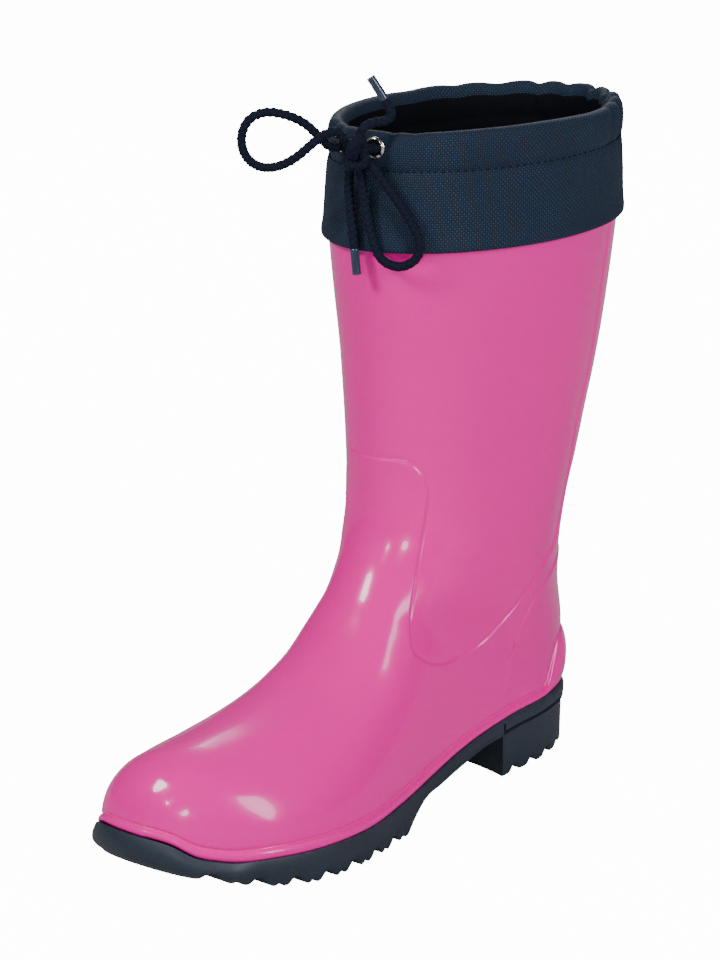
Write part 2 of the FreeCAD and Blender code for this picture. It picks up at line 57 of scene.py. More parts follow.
SHELL_LOW, SHELL_HIGH = box_mm("upper_shell")
CUFF_LOW, CUFF_HIGH = box_mm("cuff_outer")
KNOT_LOW, KNOT_HIGH = box_mm("drawcord_knot")
KNOT = (KNOT_LOW + KNOT_HIGH) / 2
LENGTH = 263.0                  # heel to toe of the upper
AXIS_X = 3.5                    # middle of the heel, in the stations' own frame
HEEL_TOP = 29.0
WALL = 2.8
TO_ROW = np.array([-AXIS_X, SHELL_LOW[1] + LENGTH, 0.0])


# ---------------------------------------------------------------- camera, light and floor

CAMERA_AZIMUTH = math.radians(39.59)
CAMERA_ELEVATION = math.radians(16.48)
CAMERA_AIM = (-0.0035, -0.0073, 0.145)
CAMERA_DISTANCE = 1.3527
CAMERA_LENS = 118.6
CAMERA_SENSOR = 36.0
LAMP_AIM = (0.0, 0.0, 0.15)
# Each lamp: name, place and aim in metres, width and height, and power in watts.
LAMPS = [("key_softbox", (-0.5, -1.5, 1.5), LAMP_AIM, (0.45, 0.45), 26),
         ("side_softbox", (1.7, -0.2, 0.9), LAMP_AIM, (0.5, 1.2), 25),
         ("front_softbox", (0.9, -1.7, 0.5), LAMP_AIM, (0.26, 0.26), 6),
         ("back_softbox", (-1.0, 1.4, 1.1), LAMP_AIM, (0.8, 0.8), 16),
         ("toe_lamp", (0.1, -1.1, 0.55), (0.0, -0.1, 0.05), (0.10, 0.10), 1.2)]
ROOM_LIGHT = 0.14
FLOOR_WIDTH = 30.0
FLOOR_GREY = 0.45               # what the floor throws back on the boot
FLOOR_GLOW = 14.0               # how bright the floor looks to the camera


def make_camera():
    camera = bpy.data.objects.new("camera", bpy.data.cameras.new("camera"))
    bpy.context.scene.collection.objects.link(camera)
    back = Vector((math.sin(CAMERA_AZIMUTH) * math.cos(CAMERA_ELEVATION),
                   -math.cos(CAMERA_AZIMUTH) * math.cos(CAMERA_ELEVATION),
                   math.sin(CAMERA_ELEVATION)))
    camera.location = Vector(CAMERA_AIM) + back * CAMERA_DISTANCE
    camera.rotation_mode = "QUATERNION"
    camera.rotation_quaternion = (-back).to_track_quat("-Z", "Y")
    camera.data.lens = CAMERA_LENS
    camera.data.sensor_width = CAMERA_SENSOR
    bpy.context.scene.camera = camera


def make_light(name, place, aim, size, power):
    data = bpy.data.lights.new(name, "AREA")
    data.shape = "ELLIPSE"
    data.size, data.size_y = size
    data.energy = power
    light = bpy.data.objects.new(name, data)
    bpy.context.scene.collection.objects.link(light)
    light.location = place
    light.rotation_mode = "QUATERNION"
    light.rotation_quaternion = (Vector(aim) - Vector(place)).to_track_quat("-Z", "Y")


def make_studio():
    world = bpy.data.worlds.new("studio")
    world.use_nodes = True
    sky = world.node_tree.nodes["Background"]
    sky.inputs["Color"].default_value = (1.0, 1.0, 1.0, 1.0)
    sky.inputs["Strength"].default_value = ROOM_LIGHT
    bpy.context.scene.world = world
    for name, place, aim, size, power in LAMPS:
        make_light(name, place, aim, size, power)
    bpy.ops.mesh.primitive_plane_add(size=FLOOR_WIDTH)
    floor = bpy.context.object
    floor.name = "floor"
    floor.data.materials.append(plain_floor())


def plain_floor():
    """A pale floor that looks white to the camera and throws little light on the boot."""
    paint = bpy.data.materials.new("pale_floor")
    paint.use_nodes = True
    shader = paint.node_tree.nodes["Principled BSDF"]
    shader.inputs["Base Color"].default_value = (FLOOR_GREY, FLOOR_GREY, FLOOR_GREY, 1.0)
    shader.inputs["Roughness"].default_value = 0.9
    shader.inputs["Specular IOR Level"].default_value = 0.0
    shader.inputs["Emission Color"].default_value = (1.0, 1.0, 1.0, 1.0)
    seen = paint.node_tree.nodes.new("ShaderNodeLightPath").outputs["Is Camera Ray"]
    glow = calculate(paint.node_tree, "MULTIPLY", seen, FLOOR_GLOW)
    paint.node_tree.links.new(glow, shader.inputs["Emission Strength"])
    return paint


# ---------------------------------------------------------------- material parts

def add_group(name, inputs, outputs):
    tree = bpy.data.node_groups.new(name, "ShaderNodeTree")
    for label, kind, value in inputs:
        socket = tree.interface.new_socket(label, in_out="INPUT", socket_type=kind)
        socket.default_value = value
    for label, kind in outputs:
        tree.interface.new_socket(label, in_out="OUTPUT", socket_type=kind)
    return tree, tree.nodes.new("NodeGroupInput"), tree.nodes.new("NodeGroupOutput")


def feed(tree, socket, value):
    if isinstance(value, bpy.types.NodeSocket):
        tree.links.new(value, socket)
    else:
        socket.default_value = value


def calculate(tree, operation, first, second=0.0):
    node = tree.nodes.new("ShaderNodeMath")
    node.operation = operation
    feed(tree, node.inputs[0], first)
    feed(tree, node.inputs[1], second)
    return node.outputs[0]


def noise(tree, place, scale, detail=2.0):
    node = tree.nodes.new("ShaderNodeTexNoise")
    node.inputs["Detail"].default_value = detail
    tree.links.new(place, node.inputs["Vector"])
    feed(tree, node.inputs["Scale"], scale)
    return node.outputs[0]


def blend_colours(tree, share, first, second):
    node = tree.nodes.new("ShaderNodeMix")
    node.data_type = "RGBA"
    feed(tree, node.inputs["Factor"], share)
    feed(tree, node.inputs["A"], first)
    feed(tree, node.inputs["B"], second)
    return node.outputs["Result"]


def spread(tree, value, low, high, to_low, to_high):
    node = tree.nodes.new("ShaderNodeMapRange")
    feed(tree, node.inputs["Value"], value)
    for label, number in (("From Min", low), ("From Max", high), ("To Min", to_low),
                          ("To Max", to_high)):
        feed(tree, node.inputs[label], number)
    return node.outputs["Result"]


FLOAT = "NodeSocketFloat"
COLOUR = "NodeSocketColor"


def make_moulded_group():
    """Faint mottling of a moulded skin: colour, roughness and a fine uneven surface."""
    tree, given, made = add_group(
        "moulded_skin",
        [("Colour", COLOUR, (1, 1, 1, 1)), ("Second Colour", COLOUR, (1, 1, 1, 1)),
         ("Roughness", FLOAT, 0.2), ("Roughness Change", FLOAT, 0.05), ("Grain Scale", FLOAT, 400.0)],
        [("Colour", COLOUR), ("Roughness", FLOAT), ("Height", FLOAT)])
    place = tree.nodes.new("ShaderNodeTexCoord").outputs["Object"]
    clouds = noise(tree, place, 14.0)
    grain = noise(tree, place, given.outputs["Grain Scale"], 3.0)
    cloud_share = spread(tree, clouds, 0.35, 0.65, 0.0, 1.0)
    colour = blend_colours(tree, cloud_share, given.outputs["Colour"], given.outputs["Second Colour"])
    change = calculate(tree, "MULTIPLY", calculate(tree, "SUBTRACT", grain, 0.5),
                       given.outputs["Roughness Change"])
    rough = calculate(tree, "ADD", given.outputs["Roughness"], change)
    feed(tree, made.inputs["Colour"], colour)
    feed(tree, made.inputs["Roughness"], rough)
    feed(tree, made.inputs["Height"], grain)
    return tree


def make_wear_group():
    """Mask of rubbed edges, broken up by noise."""
    tree, given, made = add_group(
        "rubbed_edges", [("Amount", FLOAT, 1.0), ("Scale", FLOAT, 300.0)], [("Mask", FLOAT)])
    shape = tree.nodes.new("ShaderNodeNewGeometry").outputs["Pointiness"]
    place = tree.nodes.new("ShaderNodeTexCoord").outputs["Object"]
    edge = spread(tree, shape, 0.51, 0.60, 0.0, 1.0)
    broken = spread(tree, noise(tree, place, given.outputs["Scale"], 4.0), 0.4, 0.65, 0.0, 1.0)
    mask = calculate(tree, "MULTIPLY", calculate(tree, "MULTIPLY", edge, broken), given.outputs["Amount"])
    feed(tree, made.inputs["Mask"], mask)
    return tree


def make_weave_group():
    """Plain weave laid over the cloth's own length and width, with a painted glint on the thread crowns and
    painted shade in the gaps between threads.
    """
    tree, given, made = add_group(
        "plain_weave",
        [("Thread", COLOUR, (1, 1, 1, 1)), ("Painted Glint", COLOUR, (1, 1, 1, 1)), ("Painted Gap Shade", COLOUR, (0, 0, 0, 1)),
         ("Threads", FLOAT, 1.0)],
        [("Colour", COLOUR), ("Height", FLOAT)])
    split = tree.nodes.new("ShaderNodeSeparateXYZ")
    tree.links.new(tree.nodes.new("ShaderNodeTexCoord").outputs["UV"], split.inputs[0])
    across = calculate(tree, "MULTIPLY", split.outputs[0], given.outputs["Threads"])
    along = calculate(tree, "MULTIPLY", split.outputs[1], given.outputs["Threads"])
    ridge_across = calculate(tree, "ABSOLUTE", calculate(
        tree, "SINE", calculate(tree, "MULTIPLY", across, math.pi)))
    ridge_along = calculate(tree, "ABSOLUTE", calculate(
        tree, "SINE", calculate(tree, "MULTIPLY", along, math.pi)))
    turn = calculate(tree, "MODULO", calculate(
        tree, "ADD", calculate(tree, "FLOOR", across), calculate(tree, "FLOOR", along)), 2.0)
    turn = calculate(tree, "ABSOLUTE", turn)
    over = calculate(tree, "MULTIPLY", ridge_across, calculate(tree, "SQRT", ridge_along))
    height = calculate(tree, "MULTIPLY", over, spread(tree, turn, 0.0, 1.0, 0.72, 1.0))
    place = tree.nodes.new("ShaderNodeTexCoord").outputs["Object"]
    patches = noise(tree, place, 22.0, 3.0)
    uneven = noise(tree, place, 900.0, 1.0)
    # painted glint: a lighter colour on the crowns of one set of threads, broken into patches, standing in
    # for their highlights
    painted_glint_mask = calculate(tree, "MULTIPLY", spread(tree, height, 0.55, 0.95, 0.0, 1.0),
                      calculate(tree, "MULTIPLY", turn, spread(tree, patches, 0.35, 0.65, 0.25, 1.0)))
    painted_glint_mask = calculate(tree, "MULTIPLY", painted_glint_mask, spread(tree, uneven, 0.3, 0.7, 0.4, 1.0))
    # painted shade: the colour darkens towards the gaps between threads, where they lie lowest
    body = blend_colours(tree, spread(tree, height, 0.15, 0.5, 0.0, 1.0), given.outputs["Painted Gap Shade"],
                         given.outputs["Thread"])
    feed(tree, made.inputs["Colour"], blend_colours(tree, painted_glint_mask, body, given.outputs["Painted Glint"]))
    feed(tree, made.inputs["Height"], height)
    return tree


MOULDED = make_moulded_group()
WEAR = make_wear_group()
WEAVE = make_weave_group()


def place_group(tree, made, values):
    node = tree.nodes.new("ShaderNodeGroup")
    node.node_tree = made
    for label, value in values.items():
        feed(tree, node.inputs[label], value)
    return node


def bump(tree, height, distance_mm, strength=1.0):
    node = tree.nodes.new("ShaderNodeBump")
    node.inputs["Distance"].default_value = distance_mm * MM
    node.inputs["Strength"].default_value = strength
    tree.links.new(height, node.inputs["Height"])
    return node.outputs["Normal"]


def start_material(name, **settings):
    material = bpy.data.materials.new(name)
    material.use_nodes = True
    tree = material.node_tree
    shader = tree.nodes["Principled BSDF"]
    for label, value in settings.items():
        shader.inputs[label.replace("_", " ")].default_value = value
    return material, tree, shader


def moulded_material(name, colour, second, roughness, grain_scale, grain_mm, wear, worn, **settings):
    material, tree, shader = start_material(name, **settings)
    skin = place_group(tree, MOULDED, {"Colour": colour, "Second Colour": second,
                                       "Roughness": roughness, "Grain Scale": grain_scale})
    rubbed = place_group(tree, WEAR, {"Amount": wear})
    feed(tree, shader.inputs["Base Color"],
         blend_colours(tree, rubbed.outputs["Mask"], skin.outputs["Colour"], worn))
    feed(tree, shader.inputs["Roughness"],
         calculate(tree, "ADD", skin.outputs["Roughness"],
                   calculate(tree, "MULTIPLY", rubbed.outputs["Mask"], 0.15)))
    feed(tree, shader.inputs["Normal"], bump(tree, skin.outputs["Height"], grain_mm))
    return material


def cloth_material(name, thread, painted_glint, gap, threads, relief_mm, roughness, **settings):
    # The second colour is a painted highlight on the thread crowns; the third is painted shade in the gaps
    # between threads.
    material, tree, shader = start_material(name, Roughness=roughness, **settings)
    cloth = place_group(tree, WEAVE, {"Thread": thread, "Painted Glint": painted_glint, "Painted Gap Shade": gap, "Threads": threads})
    feed(tree, shader.inputs["Base Color"], cloth.outputs["Colour"])
    feed(tree, shader.inputs["Normal"], bump(tree, cloth.outputs["Height"], relief_mm))
    return material


PINK = moulded_material(
    "glossy_pink_pvc", (0.96, 0.0, 0.35, 1), (0.93, 0.0, 0.36, 1), 0.20, 260.0, 0.012, 0.15,
    (0.92, 0.04, 0.42, 1), Coat_Weight=0.22, Coat_Roughness=0.03, Specular_IOR_Level=0.25,
    Subsurface_Weight=0.12, Subsurface_Radius=(0.004, 0.001, 0.002), Subsurface_Scale=1.0)
RUBBER = moulded_material(
    "navy_sole_rubber", (0.009, 0.018, 0.032, 1), (0.012, 0.022, 0.038, 1), 0.48, 900.0, 0.03, 0.5,
    (0.07, 0.085, 0.11, 1))
CORD = moulded_material(
    "navy_braid", (0.0022, 0.0042, 0.014, 1), (0.004, 0.007, 0.020, 1), 0.78, 2600.0, 0.10, 0.5,
    (0.010, 0.016, 0.040, 1), Sheen_Weight=0.02, Sheen_Roughness=0.4, Specular_IOR_Level=0.15)
FOAM = moulded_material(
    "footbed_foam", (0.05, 0.05, 0.055, 1), (0.06, 0.06, 0.065, 1), 0.85, 1500.0, 0.15, 0.2,
    (0.10, 0.10, 0.11, 1))
NICKEL = moulded_material(
    "bright_nickel", (0.72, 0.70, 0.67, 1), (0.66, 0.64, 0.61, 1), 0.16, 700.0, 0.005, 0.3,
    (0.85, 0.84, 0.82, 1), Metallic=1.0)
SLEEVE = moulded_material(
    "smoky_clear_sleeve", (0.03, 0.045, 0.09, 1), (0.04, 0.06, 0.11, 1), 0.12, 500.0, 0.02, 0.2,
    (0.3, 0.34, 0.42, 1), Transmission_Weight=0.35, IOR=1.46)
THREAD = moulded_material(
    "navy_thread", (0.004, 0.009, 0.022, 1), (0.006, 0.012, 0.028, 1), 0.7, 3500.0, 0.05, 0.3,
    (0.010, 0.018, 0.038, 1), Specular_IOR_Level=0.1)
# Cloth colours: thread, painted glint on the thread crowns, painted shade in the gaps between threads.
CUFF = cloth_material("navy_oxford_cloth", (0.006, 0.0185, 0.046, 1), (0.050, 0.110, 0.19, 1),
                      (0.003, 0.006, 0.014, 1), 1.0, 0.22, 0.72, Sheen_Weight=0.02, Specular_IOR_Level=0.25)
LINING = cloth_material("dark_lining_cloth", (0.003, 0.0035, 0.006, 1), (0.010, 0.012, 0.018, 1),
                        (0.002, 0.002, 0.004, 1), 1.3, 0.12, 0.8, Specular_IOR_Level=0.1)
KNIT = cloth_material("charcoal_knit", (0.008, 0.008, 0.011, 1), (0.022, 0.022, 0.028, 1),
                      (0.004, 0.004, 0.006, 1), 0.8, 0.3, 0.9, Sheen_Weight=0.05,
                      Specular_IOR_Level=0.1)
FOOTBED_CLOTH = cloth_material("footbed_cloth", (0.024, 0.026, 0.034, 1), (0.07, 0.075, 0.09, 1),
                               (0.008, 0.009, 0.012, 1), 1.1, 0.2, 0.85, Sheen_Weight=0.2)


# ---------------------------------------------------------------- meshes

def finish_piece(piece, body, material, nodes):
    bpy.context.scene.collection.objects.link(piece)
    piece.data.materials.append(material)
    for face in piece.data.polygons:
        face.use_smooth = True
    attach(piece, body)
    if nodes:
        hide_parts(*nodes)
    return piece


def add_piece(name, points, faces, body, material, nodes=(), cloth_mm=None):
    """A piece from points in millimetres; cloth_mm gives each point's place on its cloth."""
    mesh = bpy.data.meshes.new(name)
    mesh.from_pydata((np.asarray(points) * MM).tolist(), [], [list(face) for face in faces])
    mesh.update()
    if cloth_mm is not None:
        layer = mesh.uv_layers.new(name="cloth")
        corners = np.zeros(len(mesh.loops), int)
        mesh.loops.foreach_get("vertex_index", corners)
        layer.data.foreach_set("uv", np.asarray(cloth_mm, float)[corners].ravel())
    piece = bpy.data.objects.new(name, mesh)
    return finish_piece(piece, body, material, nodes)


def bridge(low, high, columns):
    """Quads between two rings of points, given by the number of each ring's first point."""
    return [(low + c, low + (c + 1) % columns, high + (c + 1) % columns, high + c)
            for c in range(columns)]


def grid_faces(rows, columns, start=0):
    """Quads over a grid of points, ring by ring."""
    faces = []
    for r in range(rows - 1):
        low = start + r * columns
        faces += bridge(low, low + columns, columns)
    return faces


def clean_faces(piece, merge_mm=None):
    """Joins points that lie on each other, if asked, and turns every face outward."""
    net = bmesh.new()
    net.from_mesh(piece.data)
    if merge_mm:
        bmesh.ops.remove_doubles(net, verts=net.verts, dist=merge_mm * MM)
    bmesh.ops.recalc_face_normals(net, faces=net.faces)
    net.to_mesh(piece.data)
    net.free()


def strip_faces(start, columns, flip=False):
    """A flat closing face over a ring: strips between its two sides."""
    faces = []
    half = columns // 2
    for c in range(half):
        corners = [c, c + 1, columns - c - 1, (columns - c) % columns]
        corners = list(dict.fromkeys(corners))
        if flip:
            corners = corners[::-1]
        faces.append([start + corner for corner in corners])
    return faces


# ---------------------------------------------------------------- the form of foot and shaft

# Along the foot, from the toe: place, outer edge, inner edge.
OUTLINE = [(-263, -9, -9), (-257, 13, -29), (-246, 26.5, -38.5), (-230, 38, -43),
           (-208, 46, -44.5), (-182, 48.5, -42), (-152, 44.5, -35.5), (-122, 39, -29.5),
           (-92, 35.5, -28), (-62, 34.5, -29), (-35, 33.5, -27.5), (-12, 25.5, -19), (0, 3.5, 3.5)]
# Height of the seam between upper and sole, and of the ridge of the foot.
FEATHER = [(-290, 27), (-263, 25.5), (-258.5, 23.6), (-253, 18.6), (-246, 16.2), (-225, 15), (-200, 14.5),
           (-165, 15), (-130, 18.5), (-95, 24), (-60, 28), (-25, 29), (40, 29)]
RIDGE = [(-275, 20), (-263, 27.5), (-260, 38), (-254, 47.5), (-245, 52.5), (-230, 54.6),
         (-210, 56.6), (-190, 60.6), (-174, 65.7), (-160, 73.5), (-148, 82.6), (-138, 94),
         (-125, 108), (-95, 112), (-60, 108), (-30, 92), (-10, 78), (20, 66)]
# Up the shaft: height, front line, back line, half width.
SHAFT = [(10, -95, -2, 26), (30, -97, -1.5, 28), (45, -99, 0.6, 31), (60, -109, 0, 34.2),
         (75, -118.5, -3, 36.5), (90, -128.4, -4.6, 38.5), (110, -125.6, -4, 40),
         (125, -121.8, -1, 40.8), (140, -120.6, 4.3, 41.8), (160, -121, 10.4, 43.3),
         (180, -122, 16.2, 45.2), (200, -123.5, 20.8, 47), (220, -126, 24.3, 48.8),
         (240, -128.3, 27.3, 50.4), (300, -133, 34, 54)]
# The outline again, as the square of its half width and its middle.
WIDTHS = [(y, ((out - inn) / 2) ** 2, (out + inn) / 2) for y, out, inn in OUTLINE]


def smooth(table, place, column=1):
    """A smooth curve through one column of a station table."""
    places = np.array([row[0] for row in table], float)
    values = np.array([row[column] for row in table], float)
    place = np.clip(place, places[0], places[-1])
    gaps = np.diff(places)
    rises = np.diff(values) / gaps
    slopes = np.concatenate([[rises[0]], (rises[:-1] * gaps[1:] + rises[1:] * gaps[:-1])
                             / (gaps[1:] + gaps[:-1]), [rises[-1]]])
    index = np.clip(np.searchsorted(places, place, side="left") - 1, 0, len(gaps) - 1)
    span = gaps[index]
    part = (place - places[index]) / span
    square = part * part
    cube = square * part
    return ((2 * cube - 3 * square + 1) * values[index] + (cube - 2 * square + part) * slopes[index] * span
            + (3 * square - 2 * cube) * values[index + 1] + (cube - square) * slopes[index + 1] * span)


def feather(y):
    return smooth(FEATHER, y)


def lifted(level, y):
    """Height of a ring at a place along the foot: low rings follow the feather line."""
    fade = np.maximum(0.0, 1 - level / 110.0)
    return level + HEEL_TOP + (feather(y) - HEEL_TOP) * fade * fade


END_FALL = 60.0                 # how fast the foot's outline closes past its ends
INSTEP_ROUND = 2.4              # how square the foot's section is under its ridge
ANKLE_MELT = 520.0              # how softly the foot runs into the shaft


def half_width_squared(y, level):
    """Foot and shaft melted into one body, as the square of its half width."""
    z = lifted(level, y)
    base = np.where(y <= -LENGTH, (y + LENGTH) * END_FALL,
                    np.where(y >= 0, -y * END_FALL, smooth(WIDTHS, y)))
    low = feather(y)
    share = np.maximum(0.0, z - low) / np.maximum(smooth(RIDGE, y) - low, 1.0)
    foot = base - np.maximum(base, END_FALL) * share ** INSTEP_ROUND
    front = smooth(SHAFT, z, 1)
    back = smooth(SHAFT, z, 2)
    half = smooth(SHAFT, z, 3)
    along = (y - front) / (back - front)
    shaft = 4 * half * half * along * (1 - along)
    blend = ANKLE_MELT * np.clip(level / 45.0, 0.02, 1.0)
    near = np.maximum(blend - np.abs(foot - shaft), 0.0)
    return np.maximum(foot, shaft) + near * near / (4 * blend)


def ring_ends(levels, step):
    """Where each ring ends, towards the toe or the heel."""
    y = np.full(len(levels), -60.0)
    for _ in range(int(LENGTH / abs(step)) + 2):
        y = np.where(half_width_squared(y + step, levels) > 0, y + step, y)
    inside = y
    outside = y + step
    for _ in range(24):
        middle = (inside + outside) / 2
        solid = half_width_squared(middle, levels) > 0
        inside = np.where(solid, middle, inside)
        outside = np.where(solid, outside, middle)
    return inside


def middle_line(y, level):
    """Middle of the boot at a place: the foot's own below, the shaft's above."""
    fade = np.maximum(0.0, 1 - level / 100.0)
    fade = fade * fade * (3 - 2 * fade)
    return AXIS_X + (smooth(WIDTHS, np.clip(y, -LENGTH, 0.0), 2) - AXIS_X) * fade


def rings(levels, side_points):
    """Rows of points round the boot, from the toe along the outer side, in the row's frame."""
    levels = np.asarray(levels, float)
    front = ring_ends(levels, -3.0)[:, None]
    back = ring_ends(levels, 3.0)[:, None]
    turn = np.cos(np.pi * np.arange(side_points + 1) / side_points)[None, :]
    y = (front + back) / 2 - (back - front) / 2 * turn
    level = np.broadcast_to(levels[:, None], y.shape)
    half = np.sqrt(np.maximum(half_width_squared(y, level), 0.0))
    half[:, 0] = 0.0
    half[:, -1] = 0.0
    middle = middle_line(y, level)
    z = lifted(level, y)
    outer = np.stack([middle + half, y, z], -1)
    inner = np.stack([middle - half, y, z], -1)
    return np.concatenate([outer, inner[:, -2:0:-1]], 1) + TO_ROW


def grid_normals(grid):
    around = np.roll(grid, -1, 1) - np.roll(grid, 1, 1)
    up = np.gradient(grid, axis=0)
    normal = np.cross(around, up)
    return normal / np.linalg.norm(normal, axis=-1, keepdims=True)


def share_weights(part):
    """Catmull-Rom weights of the four neighbours."""
    square = part * part
    cube = square * part
    return [(-cube + 2 * square - part) / 2, (3 * cube - 5 * square + 2) / 2,
            (-3 * cube + 4 * square + part) / 2, (cube - square) / 2]


def sample(grid, column, row):
    """Smooth reading of a grid that closes on itself along its columns."""
    rows, columns = grid.shape[:2]
    column_low = np.floor(column).astype(int)
    row_low = np.clip(np.floor(row).astype(int), 0, rows - 2)
    column_weights = share_weights(column - column_low)
    row_weights = share_weights(row - row_low)
    total = 0.0
    for i, row_weight in enumerate(row_weights):
        for j, column_weight in enumerate(column_weights):
            near_row = np.clip(row_low + i - 1, 0, rows - 1)
            near_column = (column_low + j - 1) % columns
            total = total + grid[near_row, near_column] * (row_weight * column_weight)[:, None]
    return total


# Lines on the moulded upper, on its outer side; the inner side has the same, mirrored.
PANEL_EDGE = [(3.5, -121, 154.6), (10, -120, 154.8), (16.4, -117.9, 154.9), (20.8, -115.2, 153),
              (24.1, -112.6, 148.5), (25.7, -111.1, 141.4), (25.1, -112.2, 129), (24.7, -116.4, 112),
              (26, -122, 95.8), (28.8, -126.8, 84.1), (32.3, -128.3, 75.3), (34.1, -122.3, 69.5),
              (34.3, -114.2, 66), (33.7, -100.9, 64.4), (35.5, -85.4, 67.5), (40, -69.9, 79.2),
              (40.5, -48.8, 93.8), (37.5, -35.3, 101.5), (36.2, -29.5, 111.5), (37.6, -26.4, 129.7),
              (41.2, -24, 157.5), (42.7, -17.2, 183.7), (46, -14, 220), (47.3, -9, 256)]
BACK_LINE = [(37.5, -35.3, 101.5), (33.5, -25, 106), (21.4, -11.5, 111), (3.5, -5.2, 113)]
COUNTER_LINE = [(3.5, -7.4, 98), (22, -14, 96.5), (33, -27, 93), (37.1, -36.6, 89.1),
                (40.2, -51.8, 82.9), (38.7, -60.6, 70.9), (35.9, -64, 57.1), (34.5, -65.5, 45.4),
                (34.5, -66.7, 36)]


def even_line(points, step=0.5):
    """Close points along a smooth line through chosen points, and its directions."""
    points = np.array(points, float)
    padded = np.concatenate([[2 * points[0] - points[1]], points, [2 * points[-1] - points[-2]]])
    found = []
    for i in range(1, len(padded) - 2):
        count = max(2, int(np.linalg.norm(padded[i + 1] - padded[i]) / step))
        part = np.arange(count) / count
        weights = share_weights(part)
        found.append(sum(w[:, None] * padded[i + j - 1] for j, w in enumerate(weights)))
    found = np.concatenate(found + [points[-1:]])
    direction = np.gradient(found, axis=0)
    return found, direction / np.linalg.norm(direction, axis=1, keepdims=True)


def mirrored(points):
    """The same line on the inner side."""
    turned = []
    for x, y, z in points:
        level = z - HEEL_TOP - (float(feather(y)) - HEEL_TOP) * max(0.0, 1 - z / 139.0) ** 2
        middle = float(middle_line(np.array(y), np.array(max(level, 0.0))))
        turned.append((2 * middle - x, y, z))
    return turned


def signed_reach(points, normals, line, side):
    """How far each point lies from a line on the surface, above zero on its chosen side."""
    found, direction = even_line(line)
    found = found + TO_ROW
    tree = KDTree(len(found))
    for i, place in enumerate(found):
        tree.insert(place, i)
    tree.balance()
    nearest = np.array([tree.find(point)[1] for point in points])
    apart = points - found[nearest]
    sideways = np.cross(normals, direction[nearest])
    reach = np.einsum("ij,ij->i", sideways, apart) * side
    distance = np.linalg.norm(apart, axis=1)
    share = nearest / (len(found) - 1)
    return reach, distance, share


def step_up(value, low, high):
    part = np.clip((value - low) / (high - low), 0.0, 1.0)
    return part * part * (3 - 2 * part)


BEAD_HEIGHT = 3.4               # the bead round the seam with the sole
BEAD_RISE = 1.25
BEAD_GROOVE = 0.75              # depth and half width of the groove above the bead
BEAD_GROOVE_WIDE = 0.55
SPUR_HEIGHT = 25.0              # the kick-off spur behind the heel
SPUR_BEAD_RISE = 1.0
SPUR_RISE = 2.2
SPUR_START = 128.0              # degrees round the boot from the toe
SPUR_FULL = 150.0
PANEL_RISE = 0.6                # the overlay on the foot, and how far its rise reaches
PANEL_FADE = 22.0
PANEL_GROOVE = 0.18
BACK_GROOVE = 0.45
COUNTER_RISE = 0.65             # the heel counter
COUNTER_FADE = 7.0
COUNTER_REACH = 25
COUNTER_GROOVE = 0.22
GROOVE_WIDE = 0.7
FOOT_MIDDLE = -60.0             # angles round the boot are taken about this place
SIDE_DIVIDE = -2.0


def angle_round(points):
    """Angle round the boot from the toe, in degrees, the same on both sides."""
    ahead = -(points[:, 1] - TO_ROW[1] - FOOT_MIDDLE)
    return np.degrees(np.arctan2(np.abs(points[:, 0]), ahead))


def bead_height(angle):
    """The bead round the feather edge grows into the kick-off spur at the heel."""
    return BEAD_HEIGHT + (SPUR_HEIGHT - BEAD_HEIGHT) * step_up(angle, 130.0, SPUR_FULL)


def hollow(distance, half_width):
    """Section of a shallow round groove."""
    return np.exp(-(distance / half_width) ** 2)


def rise_behind(reach, soften, fade):
    """A low step beside a line, which runs out again away from it."""
    return step_up(reach, -soften, soften) * np.exp(-np.maximum(reach, 0) / fade)


def relief(points, normals, level):
    """Height of the mouldings on the upper: bead, spur, overlay edges and heel counter."""
    angle = angle_round(points)
    top = bead_height(angle)
    part = level / top
    spur = step_up(angle, SPUR_START, SPUR_FULL)
    round_bead = np.sqrt(np.clip(1 - (2 * part - 1) ** 2, 0.0, 1.0))
    crescent = np.sin(np.pi * np.clip(part, 0, 1)) ** 0.8
    at_foot = BEAD_RISE * round_bead * (1 - spur)
    at_heel = (SPUR_BEAD_RISE * round_bead + SPUR_RISE * crescent) * spur
    height = np.where(part < 1, at_foot + at_heel, 0.0)
    past = level - top
    height -= BEAD_GROOVE * hollow(past - BEAD_GROOVE_WIDE, BEAD_GROOVE_WIDE)
    outer = points[:, 0] > SIDE_DIVIDE
    for side, chosen in ((1, outer), (-1, ~outer)):
        lines = [line if side == 1 else mirrored(line) for line in (PANEL_EDGE, BACK_LINE, COUNTER_LINE)]
        place = points[chosen]
        facing = normals[chosen]
        reach = signed_reach(place, facing, lines[0], side)[0]
        added = PANEL_RISE * rise_behind(-reach, 0.4, PANEL_FADE)
        added -= PANEL_GROOVE * hollow(reach - 0.9, 0.6)
        distance = signed_reach(place, facing, lines[1], side)[1]
        added -= BACK_GROOVE * hollow(distance, GROOVE_WIDE)
        reach, distance, share = signed_reach(place, facing, lines[2], side)
        fade = 1 - step_up(share, 0.92, 1.0)
        counter = COUNTER_RISE * rise_behind(reach, 0.35, COUNTER_FADE)
        added += np.where(distance < COUNTER_REACH, counter, 0) * fade
        added -= COUNTER_GROOVE * hollow(distance, GROOVE_WIDE) * fade
        height[chosen] += added
    return height


